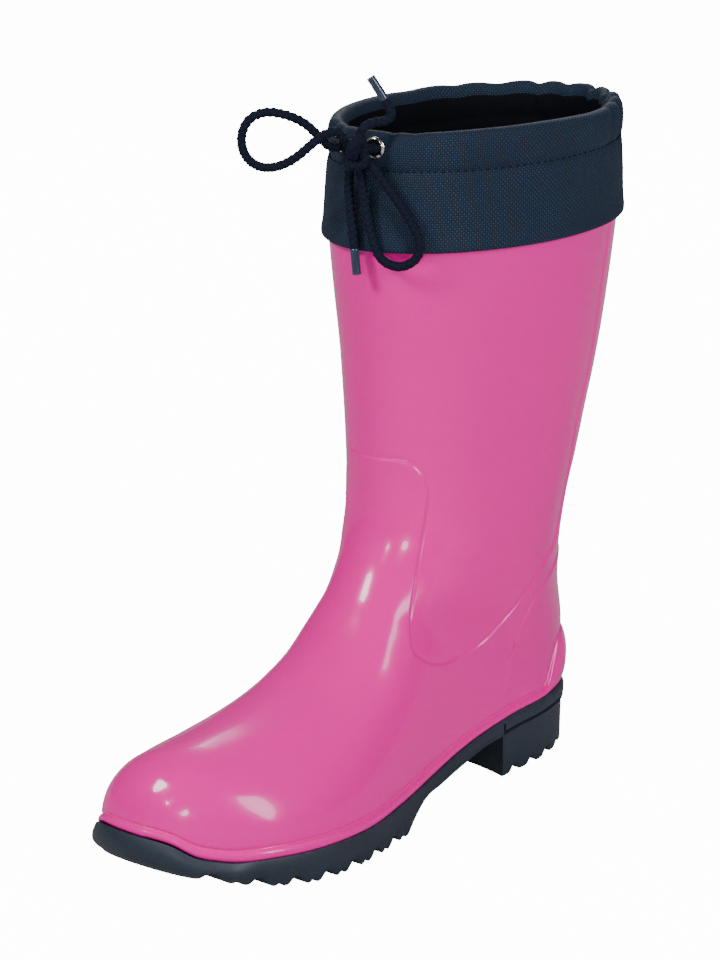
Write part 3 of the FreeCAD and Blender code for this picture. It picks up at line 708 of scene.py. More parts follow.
def fine_net(rows, columns, near, passes):
    """A closed net of quads, halved again where near() says so, with each point's place in it."""
    net = bmesh.new()
    turn = 2 * math.pi / columns
    points = [[net.verts.new((math.cos(c * turn), math.sin(c * turn), r)) for c in range(columns)]
              for r in range(rows)]
    for r in range(rows - 1):
        for c in range(columns):
            after = (c + 1) % columns
            net.faces.new((points[r][c], points[r][after], points[r + 1][after], points[r + 1][c]))

    def places(found):
        found = np.array(found)
        column = np.arctan2(found[:, 1], found[:, 0]) / turn
        return np.where(column < 0, column + columns, column), found[:, 2]

    for _ in range(passes):
        chosen = near(*places([face.calc_center_median() for face in net.faces]))
        edges = {edge for face, use in zip(net.faces, chosen) if use for edge in face.edges}
        bmesh.ops.subdivide_edges(net, edges=list(edges), cuts=1, use_grid_fill=True)
    net.verts.index_update()
    column, row = places([vert.co for vert in net.verts])
    faces = [[vert.index for vert in face.verts] for face in net.faces]
    net.free()
    return column, row, faces


UPPER_LEVELS = np.concatenate([np.linspace(0, 7, 21), np.linspace(8.2, 110, 72),
                               np.linspace(112, SHELL_HIGH[2] - HEEL_TOP, 54)])
SIDE_POINTS = 150
FINE_NEAR_LINE = 2.6            # the net is finer this near to a moulded line
FINE_NEAR_SPUR = 2.2
INSIDE_STEP = 6                 # the inside face uses every sixth row


def make_upper():
    """The moulded upper: a net that is finer along its mouldings, and a plain inside face."""
    columns = 2 * SIDE_POINTS
    grid = rings(UPPER_LEVELS, SIDE_POINTS)
    normals = grid_normals(grid)
    levels = np.broadcast_to(UPPER_LEVELS[:, None, None], grid.shape[:2] + (1,))
    rows = len(UPPER_LEVELS)

    def near(column, row):
        place = sample(grid, column, row)
        facing = sample(normals, column, row)
        level = sample(levels, column, row)[:, 0]
        chosen = np.zeros(len(place), bool)
        outer = place[:, 0] > SIDE_DIVIDE
        for side, half in ((1, outer), (-1, ~outer)):
            for line in (PANEL_EDGE, BACK_LINE, COUNTER_LINE):
                line = line if side == 1 else mirrored(line)
                distance = signed_reach(place[half], facing[half], line, side)[1]
                chosen[np.flatnonzero(half)[distance < FINE_NEAR_LINE]] = True
        angle = angle_round(place)
        past = level - bead_height(angle)
        chosen |= (angle > SPUR_START) & (np.abs(past) < FINE_NEAR_SPUR)
        return chosen & (row > 2) & (row < rows - 4)

    column, row, faces = fine_net(rows, columns, near, 2)
    place = sample(grid, column, row)
    facing = sample(normals, column, row)
    facing /= np.linalg.norm(facing, axis=1, keepdims=True)
    level = sample(levels, column, row)[:, 0]
    place = place + facing * relief(place, facing, level)[:, None]
    inside_rows = grid[::-INSIDE_STEP] - normals[::-INSIDE_STEP] * WALL
    inside_rows = inside_rows[:-2]
    start = len(place)
    points = np.concatenate([place, inside_rows.reshape(-1, 3)])
    top = (rows - 1) * columns
    faces += bridge(top, start, columns)
    faces += grid_faces(len(inside_rows), columns, start)
    faces += strip_faces(start + (len(inside_rows) - 1) * columns, columns)
    faces += strip_faces(0, columns, True)
    return add_piece("moulded_upper", points, faces, "boot", PINK, ["upper_shell"])


SOCK_GAP = 0.05
SOCK_THICKNESS = 0.7


def make_sock_lining():
    """Knitted lining bonded to the inside of the upper."""
    levels = np.concatenate([[1.5, 6], np.linspace(12, SHELL_HIGH[2] - HEEL_TOP - 0.4, 60)])
    grid = rings(levels, 60)
    normals = grid_normals(grid)
    near_face = grid - normals * (WALL + SOCK_GAP)
    far_face = grid - normals * (WALL + SOCK_GAP + SOCK_THICKNESS)
    columns = grid.shape[1]
    rows = len(levels)
    points = np.concatenate([near_face.reshape(-1, 3), far_face.reshape(-1, 3)])
    faces = grid_faces(rows, columns)
    faces += [face[::-1] for face in grid_faces(rows, columns, rows * columns)]
    top = (rows - 1) * columns
    faces += bridge(top, rows * columns + top, columns)
    faces += strip_faces(0, columns, True)
    faces += strip_faces(rows * columns, columns)
    length = np.cumsum(np.linalg.norm(np.diff(grid, axis=1, append=grid[:, :1]), axis=2), axis=1)
    cloth = np.stack([length, np.broadcast_to(levels[:, None], length.shape)], -1).reshape(-1, 2)
    return add_piece("knit_sock_lining", points, faces, "boot", KNIT, ["sock_lining"],
                     np.concatenate([cloth, cloth]))


# ---------------------------------------------------------------- sole

SOLE_POINTS = 430
LUG_PITCH = 15.0                # grooves across the tread, and a small nick between each two
LUG_DEPTH = 3.9
LUG_GAP = 2.9
LUG_SQUARE = 2.4
NICK_DEPTH = 1.3
NICK_GAP = 1.2
HEEL_LUG_DEPTH = 3.2
HEEL_LUG_GAP = 2.4
LUGS = [-LENGTH + 15 + LUG_PITCH * i for i in range(7)]
HEEL_LUGS = [-58 + 13.0 * i for i in range(5)]
BREAST = -67.5                  # front face of the heel
BREAST_BOW = 5.0                # its middle is set back in a shallow bow
BREAST_REACH = 9.0
BALL = -146.0                   # back end of the tread under the ball of the foot
GUTTER_DEPTH = 1.8              # groove down the middle of the tread
GUTTER_HALF = 0.10
# Height of the underside before the lugs: from the toe to the ball, then under the arch.
UNDERSIDE = [(-283, 26), (-267, 14), (-259, 10.5), (-247, 7), (-231, 3.4), (-216, 1.1), (-205, 0),
             (BALL, 0)]
ARCH = [(BALL, 0), (BALL + 5, 4.5), (-132, 10.2), (-116, 12.6), (-100, 15.2), (-72.5, 19.2),
        (BREAST, 19.2)]


def sole_bottom(y, lugs=True):
    """Height of the tread along the sole, with its scalloped lugs."""
    front = smooth(UNDERSIDE, y)
    arch = smooth(ARCH, y)
    height = np.maximum(np.where(y < BALL, front, np.where(y < BREAST, arch, 0.0)), 0.0)
    if not lugs:
        return height
    for place in LUGS:
        height = height + LUG_DEPTH * np.exp(-np.abs((y - place) / LUG_GAP) ** LUG_SQUARE)
        height = height + NICK_DEPTH * np.exp(-((y - place - LUG_PITCH / 2) / NICK_GAP) ** 2)
    for place in HEEL_LUGS:
        height = height + HEEL_LUG_DEPTH * np.exp(-np.abs((y - place) / HEEL_LUG_GAP) ** LUG_SQUARE)
    return height


def make_sole():
    """The sole's side, toe bumper and heel flange row by row, and its tread as a net between."""
    ends = np.array([-LENGTH, 0.0])
    turn = np.cos(np.pi * np.arange(SOLE_POINTS + 1) / SOLE_POINTS)
    y = ends.mean() - (ends[1] - ends[0]) / 2 * turn
    breast = np.argmin(np.abs(y - BREAST))
    y[breast] = BREAST - 0.05
    y[breast + 1] = BREAST + 0.25
    half = np.sqrt(np.maximum(half_width_squared(y, np.zeros_like(y)), 0.0))
    half[0] = 0.0
    half[-1] = 0.0
    middle = middle_line(y, np.zeros_like(y))
    outer = np.stack([middle + half, y], -1)
    inner = np.stack([middle - half, y], -1)
    ring = np.concatenate([outer, inner[-2:0:-1]])
    columns = len(ring)
    around = np.roll(ring, -1, 0) - np.roll(ring, 1, 0)
    outward = np.stack([around[:, 1], -around[:, 0]], -1)
    outward /= np.linalg.norm(outward, axis=1, keepdims=True)
    along = ring[:, 1]
    top = feather(along) + 0.35
    bottom = np.minimum(sole_bottom(along), top - 2)
    plain_bottom = np.minimum(sole_bottom(along, False), top - 2)
    toe = 1 - step_up(along, -LENGTH + 20, -LENGTH + 30)
    heel = step_up(along, BREAST - 1, BREAST)
    drops = [0.0, 0.02, 0.06, 0.11, 0.16, 0.185, 0.2, 0.215, 0.235, 0.25, 0.275, 0.33, 0.5, 0.65, 0.8,
             0.9, 0.95, 0.985, 1.0]
    rows = []
    for drop in drops:
        bulge = math.sin(math.pi * min(drop * 1.15 + 0.05, 1.0)) ** 0.6
        plain = 1.25 + 0.9 * bulge - 0.5 * step_up(drop, 0.93, 1.0)
        bumper = 1.4 + 2.6 * math.sin(math.pi * min(drop * 0.8 + 0.12, 1.0))
        bumper -= 2.2 * step_up(drop, 0.7, 1.0)
        flange = 1.3 + 0.9 * step_up(drop, 0.0, 0.05)
        flange -= 1.6 * (step_up(drop, 0.185, 0.215) - step_up(drop, 0.235, 0.25))
        flange -= 1.0 * step_up(drop, 0.235, 0.3) + 0.5 * drop + 0.5 * step_up(drop, 0.95, 1.0)
        reach = plain * (1 - toe) * (1 - heel) + bumper * toe + flange * heel
        z = top + (plain_bottom - top) * drop + (bottom - plain_bottom) * max(0.0, (drop - 0.4) / 0.6)
        rows.append(np.concatenate([ring + outward * reach[:, None], z[:, None]], 1))
    side = np.array(rows)
    points = [side.reshape(-1, 3)]
    faces = [face[::-1] for face in grid_faces(len(drops), columns)]
    faces += strip_faces(0, columns)
    across = 14
    edge = side[-1]
    half_count = columns // 2
    start = len(drops) * columns
    inner_index = [(columns - c) % columns for c in range(half_count + 1)]
    net = []
    for c in range(half_count + 1):
        a = edge[c]
        b = edge[inner_index[c]]
        for k in range(1, across):
            part = k / across
            point = a * (1 - part) + b * part
            wide = 2 * part - 1
            near_breast = math.exp(-((point[1] - BREAST) / BREAST_REACH) ** 2)
            point[1] += BREAST_BOW * (1 - wide * wide) * near_breast
            if c not in (0, half_count):
                solid_heel = point[1] > BREAST + 4
                if (point[1] < BALL - 8) or solid_heel:
                    point[2] += GUTTER_DEPTH * math.exp(-(wide / GUTTER_HALF) ** 4)
            net.append(point)
    points.append(np.array(net))
    row = (len(drops) - 1) * columns

    def at(c, k):
        if k == 0:
            return row + c
        if k == across:
            return row + inner_index[c]
        return start + c * (across - 1) + k - 1

    for c in range(half_count):
        for k in range(across):
            corners = list(dict.fromkeys([at(c, k), at(c, k + 1), at(c + 1, k + 1), at(c + 1, k)]))
            if len(corners) > 2:
                faces.append(corners)
    points = np.concatenate(points) + TO_ROW
    piece = add_piece("rubber_sole", points, faces, "boot", RUBBER, ["outsole"])
    clean_faces(piece, merge_mm=0.01)
    piece.data.set_sharp_from_angle(angle=math.radians(48))
    return piece


# ---------------------------------------------------------------- cuff

HEM_Z = CUFF_LOW[2]
RIM_Z = CUFF_HIGH[2]
HEM_WIDE = (CUFF_HIGH[0] - CUFF_LOW[0]) / 2
HEM_LONG = (CUFF_HIGH[1] - CUFF_LOW[1]) / 2
HEM_Y = (CUFF_HIGH[1] + CUFF_LOW[1]) / 2
CUFF_LEAN = 1.7
CUFF_DRAW_IN = 1.8
STITCH_Z = RIM_Z - 16.0


def cuff_place(turn, z, depth):
    """Point on the cuff's oval at an angle from the front, inside its face by a depth."""
    share = (z - HEM_Z) / (RIM_Z - HEM_Z)
    wide = HEM_WIDE - CUFF_DRAW_IN * share - depth
    long = HEM_LONG - CUFF_DRAW_IN * share - depth
    return np.stack([wide * np.sin(turn), HEM_Y + CUFF_LEAN * share - long * np.cos(turn), z], -1)


def gathers(turn):
    """Pinches where the drawcord has bunched the cloth, mostly behind; each is one soft fold."""
    folds = [(131, 3.6, 2.6), (143, 2.6, 3.2), (156, 3.4, 2.2), (170, 2.6, 2.4), (188, 4.0, 1.3),
             (203, 3.4, 1.6), (222, 5.5, 1.2), (241, 4.0, 0.9), (119, 3.0, 1.9), (262, 7.0, 0.6),
             (331, 3.6, 1.7), (343, 3.0, 1.0), (24, 3.4, 0.8), (14, 2.6, 0.9)]
    angle = np.degrees(turn) % 360
    total = np.zeros_like(turn)
    for place, width, deep in folds:
        apart = (angle - place + 180) % 360 - 180
        total += deep * np.exp(-(apart / width) ** 2)
    return total


def unevenness(turn, z, seed):
    """Slow wander of soft cloth round the cuff."""
    phases = np.random.default_rng(seed).uniform(0, 2 * math.pi, 8)
    total = np.zeros_like(turn)
    for i, phase in enumerate(phases):
        total += math.exp(-i / 4) * np.sin((i + 2) * turn + phase + z * 0.02 * (i % 3)) / 3.2
    return total


# The cloth's way in section: depth inside the cuff's face and height. It starts inside the hem's
# fold, runs up the outside, over the rim and down to the channel's stitching.
CUFF_WAY = [(1.5, HEM_Z + 9), (1.35, HEM_Z + 6), (1.3, HEM_Z + 3), (1.1, HEM_Z + 1.2),
            (0.5, HEM_Z + 0.25), (-0.15, HEM_Z + 0.6), (-0.45, HEM_Z + 2.0), (-0.35, HEM_Z + 4),
            (0.0, HEM_Z + 7), (0.1, HEM_Z + 11), (0.15, HEM_Z + 16), (0.2, HEM_Z + 21),
            (0.25, HEM_Z + 26), (0.4, HEM_Z + 30), (0.7, STITCH_Z - 1.6), (1.35, STITCH_Z - 0.4),
            (1.35, STITCH_Z + 0.4), (0.7, STITCH_Z + 1.8), (0.25, STITCH_Z + 4), (0.0, STITCH_Z + 7),
            (0.05, STITCH_Z + 10), (0.5, STITCH_Z + 13), (1.5, STITCH_Z + 15.1),
            (3.0, RIM_Z - 0.05), (4.6, RIM_Z - 0.05), (6.1, RIM_Z - 1.0), (7.0, RIM_Z - 3),
            (7.4, RIM_Z - 6)]
# The inside facing's way, from behind the rim's roll down to the hem.
LINING_WAY = [(7.5, RIM_Z - 5.2), (7.7, RIM_Z - 8), (7.6, RIM_Z - 12), (7.2, STITCH_Z + 0.6),
              (7.2, STITCH_Z - 0.8), (7.7, STITCH_Z - 4), (7.9, STITCH_Z - 9), (7.9, STITCH_Z - 15),
              (7.9, STITCH_Z - 21), (7.8, HEM_Z + 5), (7.6, HEM_Z + 1.0)]
AROUND_CUFF = 2 * math.pi * math.sqrt((HEM_WIDE ** 2 + HEM_LONG ** 2) / 2)
CLOTH_THICKNESS = 0.8
STITCH_REACH = 2.2              # how far the stitching holds the cloth flat
STITCH_PUCKERS = 61             # small puckers along the stitching
RIM_LIMIT = 0.9                 # no fold of the rim stands higher than this


def way_points(way, step=0.9):
    """The section's way, evened out, with the distance walked along it."""
    found = even_line([(0.0, depth, z) for depth, z in way], step)[0]
    walked = np.concatenate([[0], np.cumsum(np.linalg.norm(np.diff(found, axis=0), axis=1))])
    return found[:, 1], found[:, 2], walked


def cuff_sheet(name, way, node, material, seed, fold_share, columns=420):
    """One layer of the cuff's cloth, gathered towards the rim, and its flat size."""
    depth, z, walked = way_points(way)
    turn = 2 * np.pi * np.arange(columns) / columns
    grid = []
    for d, height in zip(depth, z):
        share = (height - HEM_Z) / (RIM_Z - HEM_Z)
        bunch = gathers(turn + 0.004 * (RIM_Z - height)) * step_up(share, 0.35, 1.0)
        near_stitch = math.exp(-((height - STITCH_Z) / STITCH_REACH) ** 2)
        slack = (0.2 + 0.8 * step_up(share, 0.1, 0.6)) * (1 - near_stitch)
        inward = d + bunch * fold_share + 0.45 * unevenness(turn, height, seed) * slack
        inward += 0.10 * np.sin(turn * STITCH_PUCKERS + 0.6 * np.sin(turn * 7)) * near_stitch
        rise = (0.7 * unevenness(turn, 0.0, 5) - 0.75 * gathers(turn)) * step_up(share, 0.75, 1.0)
        rise += 0.35 * unevenness(turn, 0.0, 9) * (1 - step_up(share, 0.0, 0.15))
        row = cuff_place(turn, height + 0 * turn, inward)
        row[:, 2] += rise
        grid.append(row)
    grid = np.array(grid)
    grid[..., 2] = np.minimum(grid[..., 2], RIM_Z + RIM_LIMIT)
    along = AROUND_CUFF * np.arange(columns)[None, :] / columns
    cloth = np.stack(np.broadcast_arrays(along, walked[:, None]), -1)
    rows = len(grid)
    piece = add_piece(name, grid.reshape(-1, 3), grid_faces(rows, columns), "boot", material, [node],
                      cloth.reshape(-1, 2))
    thick = piece.modifiers.new("cloth_thickness", "SOLIDIFY")
    thick.thickness = CLOTH_THICKNESS * MM
    thick.offset = -1.0
    return piece, AROUND_CUFF, walked[-1]


STITCH_ARCH = np.array([0.75, 0.2, 0.0, 0.2, 0.75])
STITCH_RADII = (0.14, 0.25, 0.28, 0.25, 0.14)


def make_stitches(name, z, depth, node, length=2.6, gap=0.8):
    """A row of sewn stitches, each a short arched thread that dips into the cloth."""
    count = int(AROUND_CUFF / (length + gap))
    sides = 6
    sections = len(STITCH_ARCH)
    points = []
    faces = []
    for i in range(count):
        middle = 2 * math.pi * i / count
        reach = 2 * math.pi * length / AROUND_CUFF / 2
        turn = middle + reach * np.linspace(-1, 1, sections)
        line = cuff_place(turn, np.full(sections, z), depth + STITCH_ARCH)
        out = line - np.array([0, HEM_Y, 0])
        out[:, 2] = 0
        out /= np.linalg.norm(out, axis=1, keepdims=True)
        start = len(points)
        for place, facing, radius in zip(line, out, STITCH_RADII):
            for s in range(sides):
                angle = 2 * math.pi * s / sides
                points.append(place + radius * (facing * math.cos(angle)
                                                + np.array([0, 0, 1]) * math.sin(angle)))
        faces += grid_faces(sections, sides, start)
        faces.append([start + s for s in range(sides)][::-1])
        faces.append([start + (sections - 1) * sides + s for s in range(sides)])
    return add_piece(name, points, faces, "boot", THREAD, [node])


# ---------------------------------------------------------------- turned pieces

def turned_piece(name, section, place, axis, body, material, nodes, count=48):
    """A closed section of (radius, height) points turned about an axis."""
    axis = np.array(axis, float) / np.linalg.norm(axis)
    side = np.cross(axis, [0.3, 0.1, 1.0])
    side /= np.linalg.norm(side)
    other = np.cross(axis, side)
    angle = 2 * np.pi * np.arange(count) / count
    ring = np.cos(angle)[:, None] * side + np.sin(angle)[:, None] * other
    rows = [np.array(place) + radius * ring + height * axis for radius, height in section]
    faces = grid_faces(len(rows), count)
    faces += bridge((len(rows) - 1) * count, 0, count)
    piece = add_piece(name, np.concatenate(rows), faces, body, material, nodes)
    clean_faces(piece)
    return piece


def face_of_eyelet(node):
    """Middle and outward direction of an eyelet, from its own box and the cuff's oval."""
    low, high = box_mm(node)
    middle = (low + high) / 2
    share = (middle[2] - HEM_Z) / (RIM_Z - HEM_Z)
    wide = HEM_WIDE - CUFF_DRAW_IN * share
    long = HEM_LONG - CUFF_DRAW_IN * share
    across = middle[0] / wide
    face_y = HEM_Y + CUFF_LEAN * share - long * math.sqrt(1 - across ** 2)
    outward = np.array([across / wide, (face_y - HEM_Y - CUFF_LEAN * share) / long ** 2, 0.0])
    return np.array([middle[0], face_y, middle[2]]), outward / np.linalg.norm(outward)


def make_eyelet(side):
    """A pressed eyelet in the cuff's face and its clinch washer behind the cloth."""
    node = "eyelet_%s_side" % side
    place, outward = face_of_eyelet(node)
    section = [(2.5, -1.6), (2.52, 0.0), (2.75, 0.52), (3.2, 0.76), (3.7, 0.72), (4.2, 0.5), (4.55, 0.2),
               (4.6, 0.08), (4.3, 0.06), (3.4, 0.1), (3.0, 0.0), (3.0, -1.6)]
    turned_piece("pressed_eyelet_" + side, section, place, outward, "boot", NICKEL, [node])
    washer = [(3.1, -2.1), (3.2, -1.95), (3.9, -1.85), (4.15, -1.9), (4.2, -2.1), (4.1, -2.3), (3.2, -2.3)]
    turned_piece("clinch_washer_" + side, washer, place, outward, "boot", NICKEL,
                 ["washer_%s_side" % side])


# ---------------------------------------------------------------- drawcord

CORD_RADIUS = 2.0
OUT = 7.3                       # the cord leaves the knot here
NEAR = OUT + 3.2


def from_knot(x, y, z, reach):
    direction = np.array([x, y, z], float)
    return tuple(direction / np.linalg.norm(direction) * reach)


ROUTES = {
    "side_loop": [from_knot(-84, -52, 15, OUT), from_knot(-84, -52, 15, NEAR),
                  (-12.3, -7.2, 5.4), (-17.2, -10.2, 11.0), (-21.9, -17.0, 14.8), (-27.8, -22.9, 16.2),
                  (-33.2, -27.4, 12.9), (-35.6, -29.3, 5.8), (-34.6, -28.6, -1.8), (-30.6, -25.2, -6.9),
                  (-24.6, -20.6, -7.4), (-17.2, -16.8, -3.4), (-11.2, -14.0, 2.6), (-7.6, -9.4, 7.2),
                  from_knot(-42, -45, 79, NEAR), from_knot(-42, -45, 79, OUT)],
    "hanging_loop": [from_knot(75, 30, -59, OUT), from_knot(75, 30, -59, NEAR),
                     (10.9, 5.2, -11.6), (15.0, 8.2, -18.4), (20.4, 11.4, -27.3), (24.2, 14.0, -36.4),
                     (23.8, 14.0, -44.2), (17.4, 10.4, -49.0), (10.0, 6.4, -46.4), (6.4, 5.2, -38.6),
                     (3.6, 4.9, -28.8), (1.8, 4.4, -18.6),
                     from_knot(14, 32, -94, NEAR), from_knot(14, 32, -94, OUT)],
    "hanging_end": [from_knot(-45, 35, -82, OUT), from_knot(-45, 35, -82, NEAR),
                    (-5.4, 3.7, -15.2), (-4.8, 3.5, -22.8), (-3.4, 3.1, -30.4), (-2.4, 3.1, -37.6),
                    (-0.4, 2.9, -52.2)],
    "rim_end": [from_knot(35, 20, 91, OUT), from_knot(35, 20, 91, NEAR), (5.6, 6.4, 11.4),
                (7.6, 10.8, 11.2), (9.3, 13.8, 13.0), (8.9, 13.5, 16.6), (1.9, 9.4, 28.8)],
}
AGLET_LENGTH = 11.0


def smooth_route(name, points):
    """The route's own smooth line: points of a NURBS spline's curve, read back in millimetres."""
    data = bpy.data.curves.new(name + "_route", "CURVE")
    data.dimensions = "3D"
    spline = data.splines.new("NURBS")
    spline.points.add(len(points) - 1)
    for point, place in zip(spline.points, points):
        point.co = (*(np.array(place) * MM), 1.0)
    spline.order_u = 3
    spline.use_endpoint_u = True
    spline.resolution_u = 24
    holder = bpy.data.objects.new(name + "_route", data)
    line = bpy.data.meshes.new_from_object(holder)
    found = np.array([vert.co for vert in line.vertices]) / MM
    bpy.data.objects.remove(holder)
    bpy.data.meshes.remove(line)
    return found


def even_steps(points, step):
    """The same line with points an even step apart."""
    walked = np.concatenate([[0], np.cumsum(np.linalg.norm(np.diff(points, axis=0), axis=1))])
    count = max(8, int(round(walked[-1] / step)))
    places = np.linspace(0, walked[-1], count + 1)
    return np.stack([np.interp(places, walked, points[:, i]) for i in range(3)], -1), places


def carried_frame(line, closed=False):
    """Two directions square to the line, carried along it without twist."""
    ahead = np.gradient(line, axis=0)
    if closed:
        ahead = np.roll(line, -1, 0) - np.roll(line, 1, 0)
    ahead /= np.linalg.norm(ahead, axis=1, keepdims=True)
    side = np.cross(ahead[0], [0.2, 0.9, 0.3])
    sides = []
    for direction in ahead:
        side = side - direction * (side @ direction)
        side = side / np.linalg.norm(side)
        sides.append(side)
    sides = np.array(sides)
    return sides, np.cross(ahead, sides)


BRAID_STRANDS = 3               # strands in each of the two hands
BRAID_PITCH = 8.4


def braided_radius(walked, angle, radius, seed):
    """Plaited surface: lumps where strands cross, in two handed turns, a little uneven."""
    right = BRAID_STRANDS * angle + 2 * np.pi * BRAID_STRANDS * walked / BRAID_PITCH
    left = BRAID_STRANDS * angle - 2 * np.pi * BRAID_STRANDS * walked / BRAID_PITCH
    lump = np.abs(np.sin(right / 2) * np.sin(left / 2)) ** 0.6
    fibre = 0.12 * np.sin(right * 5) * np.cos(left * 2)
    wander = np.random.default_rng(seed).normal(0, 1, (40, 12))
    patch = wander[(walked / 1.6).astype(int) % 40, (angle / (2 * np.pi) * 12).astype(int) % 12]
    return radius * (0.78 + 0.28 * lump + 0.015 * fibre + 0.004 * patch)


def braid_mesh(line, radius, seed, thin_from=None, sides=28, closed=False):
    """Points and faces of a braided tube along an even line."""
    sides_way, other = carried_frame(line, closed)
    walked = np.concatenate([[0], np.cumsum(np.linalg.norm(np.diff(line, axis=0), axis=1))])
    angle = 2 * np.pi * np.arange(sides) / sides
    along, round_ = np.meshgrid(walked, angle, indexing="ij")
    if closed:
        along = along / walked[-1] * round(walked[-1] / BRAID_PITCH) * BRAID_PITCH
    reach = braided_radius(along, round_, radius, seed)
    if thin_from is not None:
        squeezed = step_up(walked, thin_from - 1.0, thin_from + 0.5)[:, None]
        reach = reach * (1 - squeezed) + np.minimum(reach, radius * 0.8) * squeezed
    grid = (line[:, None, :] + reach[..., None] * (np.cos(round_)[..., None] * sides_way[:, None, :]
                                                  + np.sin(round_)[..., None] * other[:, None, :]))
    rows = len(line)
    points = grid.reshape(-1, 3)
    faces = grid_faces(rows, sides)
    if closed:
        faces += bridge((rows - 1) * sides, 0, sides)
        return points, faces
    count = len(points)
    points = np.concatenate([points, line[:1], line[-1:]])
    last = (rows - 1) * sides
    for c in range(sides):
        after = (c + 1) % sides
        faces.append((count, after, c))
        faces.append((count + 1, last + c, last + after))
    return points, faces


INSIDE_KNOT = 0.72              # cords start inside the knot, this share of the way out
CORD_STEP = 0.22


def make_free_cord(name, seed):
    route = [KNOT + np.array(point) for point in ROUTES[name]]
    start = KNOT + np.array(ROUTES[name][0]) * INSIDE_KNOT
    finish = [KNOT + np.array(ROUTES[name][-1]) * INSIDE_KNOT] if name.endswith("loop") else []
    line = smooth_route(name, [start] + route + finish)
    line, walked = even_steps(line, CORD_STEP)
    thin_from = None if finish else walked[-1] - AGLET_LENGTH
    points, faces = braid_mesh(line, CORD_RADIUS, seed, thin_from)
    piece = add_piece("braided_" + name, points, faces, name, CORD, [name])
    path = (line[::4] * MM).tolist() + [(line[-1] * MM).tolist()]
    return piece, path, tuple(line[0] * MM), line


KNOT_SIZE = (1.82 * 1.1, 1.82 * 1.55, 1.82 * 1.12)
KNOT_LEAN = math.radians(24)
KNOT_SWING = math.radians(-30)
KNOT_SHIFT = np.array([1.0, 0.0, -0.3])
KNOT_CORD_RADIUS = 2.45


def make_knot():
    """The cord's own knot: a closed turn over and under itself."""
    turn = 2 * np.pi * np.arange(900) / 900
    x = np.sin(turn) + 2 * np.sin(2 * turn)
    y = np.cos(turn) - 2 * np.cos(2 * turn)
    z = -np.sin(3 * turn)
    line = np.stack([x * KNOT_SIZE[0], z * KNOT_SIZE[1], y * KNOT_SIZE[2]], -1)
    lean = np.array([[math.cos(KNOT_LEAN), 0, math.sin(KNOT_LEAN)],
                     [0, 1, 0],
                     [-math.sin(KNOT_LEAN), 0, math.cos(KNOT_LEAN)]])
    swing = np.array([[math.cos(KNOT_SWING), math.sin(KNOT_SWING), 0],
                      [-math.sin(KNOT_SWING), math.cos(KNOT_SWING), 0],
                      [0, 0, 1]])
    line = line @ lean @ swing + KNOT + KNOT_SHIFT
    points, faces = braid_mesh(line, KNOT_CORD_RADIUS, 31, closed=True)
    return add_piece("tied_knot", points, faces, "boot", CORD, ["drawcord_knot"])


CHANNEL_DEPTH = 4.1             # the cord's middle lies this far inside the cuff's face


def make_held_cord():
    """Knot, outer eyelet, once round inside the channel, inner eyelet, knot."""
    outer, outer_way = face_of_eyelet("eyelet_outer_side")
    inner, inner_way = face_of_eyelet("eyelet_inner_side")
    turns = np.radians(np.arange(24, 336, 6))
    channel = cuff_place(turns, np.full(len(turns), outer[2]), CHANNEL_DEPTH)
    before = outer + outer_way * 1.6
    into = (before - KNOT) / np.linalg.norm(before - KNOT)
    points = [KNOT + into * 4.5, before, outer - outer_way * CHANNEL_DEPTH + np.array([4.0, 0.8, 0])]
    points += list(channel)
    points += [inner - inner_way * CHANNEL_DEPTH + np.array([-2.0, 0.5, 0]),
               inner + inner_way * 4.6, KNOT + np.array([-3.0, 1.0, 0])]
    line = even_steps(smooth_route("held", points), 0.45)[0]
    points, faces = braid_mesh(line, CORD_RADIUS - 0.05, 37, sides=18)
    return add_piece("held_drawcord", points, faces, "boot", CORD, ["drawcord_channel"])


def make_aglet(name, node, body, line):
    """Clear sleeve shrunk over the cord's end, with a small rolled lip."""
    axis = line[-1] - line[-40]
    axis /= np.linalg.norm(axis)
    place = line[-1] - axis * (AGLET_LENGTH - 0.5)
    section = [(1.66, 0.15), (1.76, 0.0), (1.94, 0.1), (1.98, 0.7), (1.88, 2.2), (1.84, 6.0), (1.84, 9.6),
               (1.90, 10.6), (1.84, 10.95), (1.7, 11.0), (1.64, 10.7), (1.64, 6.0)]
    return turned_piece(name, section, place, axis, body, SLEEVE, [node], 40)


ENDS = (("hanging_end", "aglet_hanging"), ("rim_end", "aglet_rim"))


def make_cords():
    """The knot, the cord in its channel, the two loops and the two ends with aglets."""
    make_knot()
    make_held_cord()
    for seed, name in enumerate(("side_loop", "hanging_loop"), start=11):
        piece, path, leaves, line = make_free_cord(name, seed)
    for seed, (name, node) in enumerate(ENDS, start=21):
        piece, path, leaves, line = make_free_cord(name, seed)
        sleeve = make_aglet("clear_" + node, node, name, line)


# ---------------------------------------------------------------- footbed

FLOOR = 2.5                     # the upper's floor
SOCK_SPACE = 0.8                # room for the sock lining
FOOTBED_GAP = 0.3
FOOTBED_SIDE_GAP = 2.6
FOAM_HEIGHT = 3.5
COVER_HEIGHT = 0.8
HEEL_CUP = 1.2                  # the footbed's edge stands up this much round the heel


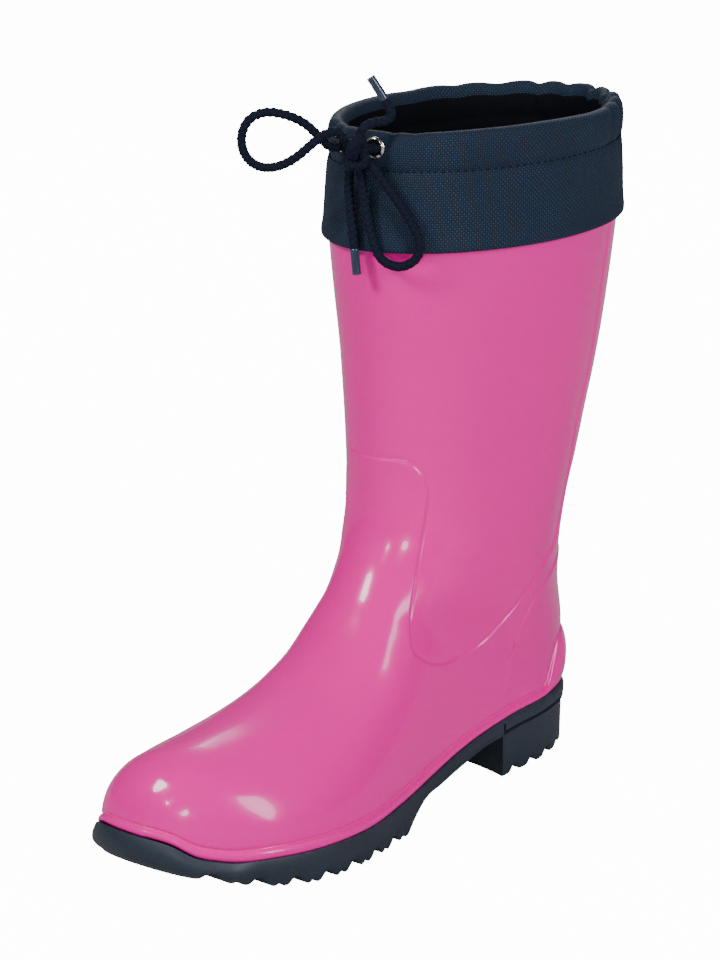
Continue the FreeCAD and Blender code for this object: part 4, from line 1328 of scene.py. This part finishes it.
def make_footbed_layer(name, node, low, high, material, threads):
    """One layer of the loose footbed, with rounded edges and a shallow heel cup."""
    side = 90
    depth = WALL + SOCK_SPACE + FOOTBED_SIDE_GAP
    base = rings([3.0, 6.0], side)
    columns = base.shape[1]
    inward = grid_normals(base)[0]
    inward[:, 2] = 0
    inward /= np.linalg.norm(inward, axis=1, keepdims=True)
    outline = base[0] - inward * depth
    middle = outline.copy()
    middle[:, 0] = (outline[:, 0] + outline[(columns - np.arange(columns)) % columns, 0]) / 2
    rows = []
    for height, share in ((low, 0.0), (low, 0.5), (low, 0.93), (low + 0.3, 0.985), ((low + high) / 2, 1.0),
                          (high - 0.3, 0.985), (high, 0.95), (high, 0.8), (high, 0.6), (high, 0.4),
                          (high, 0.2), (high, 0.0)):
        row = middle + (outline - middle) * max(share, 0.02)
        y = row[:, 1] - TO_ROW[1]
        cup = HEEL_CUP * share ** 2 * step_up(y, -110, -40) if height > low + 1e-6 else 0.0
        row[:, 2] = feather(y) + height + cup * (1.0 if high - low > 2 else 0.98)
        rows.append(row)
    grid = np.array(rows)
    faces = grid_faces(len(rows), columns)
    piece = add_piece(name, grid.reshape(-1, 3), faces, "footbed", material, [node],
                      grid[..., :2].reshape(-1, 2) if threads else None)
    clean_faces(piece, merge_mm=0.02)


def make_footbed():
    """The loose footbed's foam and its cloth."""
    low = FLOOR + SOCK_SPACE + FOOTBED_GAP
    make_footbed_layer("foam_layer", "footbed_foam", low, low + FOAM_HEIGHT, FOAM, False)
    make_footbed_layer("cloth_layer", "footbed_cover", low + FOAM_HEIGHT,
                       low + FOAM_HEIGHT + COVER_HEIGHT, FOOTBED_CLOTH, True)


make_camera()
make_studio()
make_cords()
make_upper()
make_sole()
make_sock_lining()
outer_cloth, around, walked = cuff_sheet("cuff_cloth", CUFF_WAY, "cuff_outer", CUFF, 3, 1.0)
inner_cloth, around, walked = cuff_sheet("cuff_inside", LINING_WAY, "cuff_lining", LINING,
                                         3, 1.0)
make_stitches("channel_stitches", STITCH_Z, 1.15, "channel_thread")
make_stitches("joining_stitches", HEM_Z + 4, 9.1, "joining_thread")
for side_name in ("inner", "outer"):
    make_eyelet(side_name)
make_footbed()
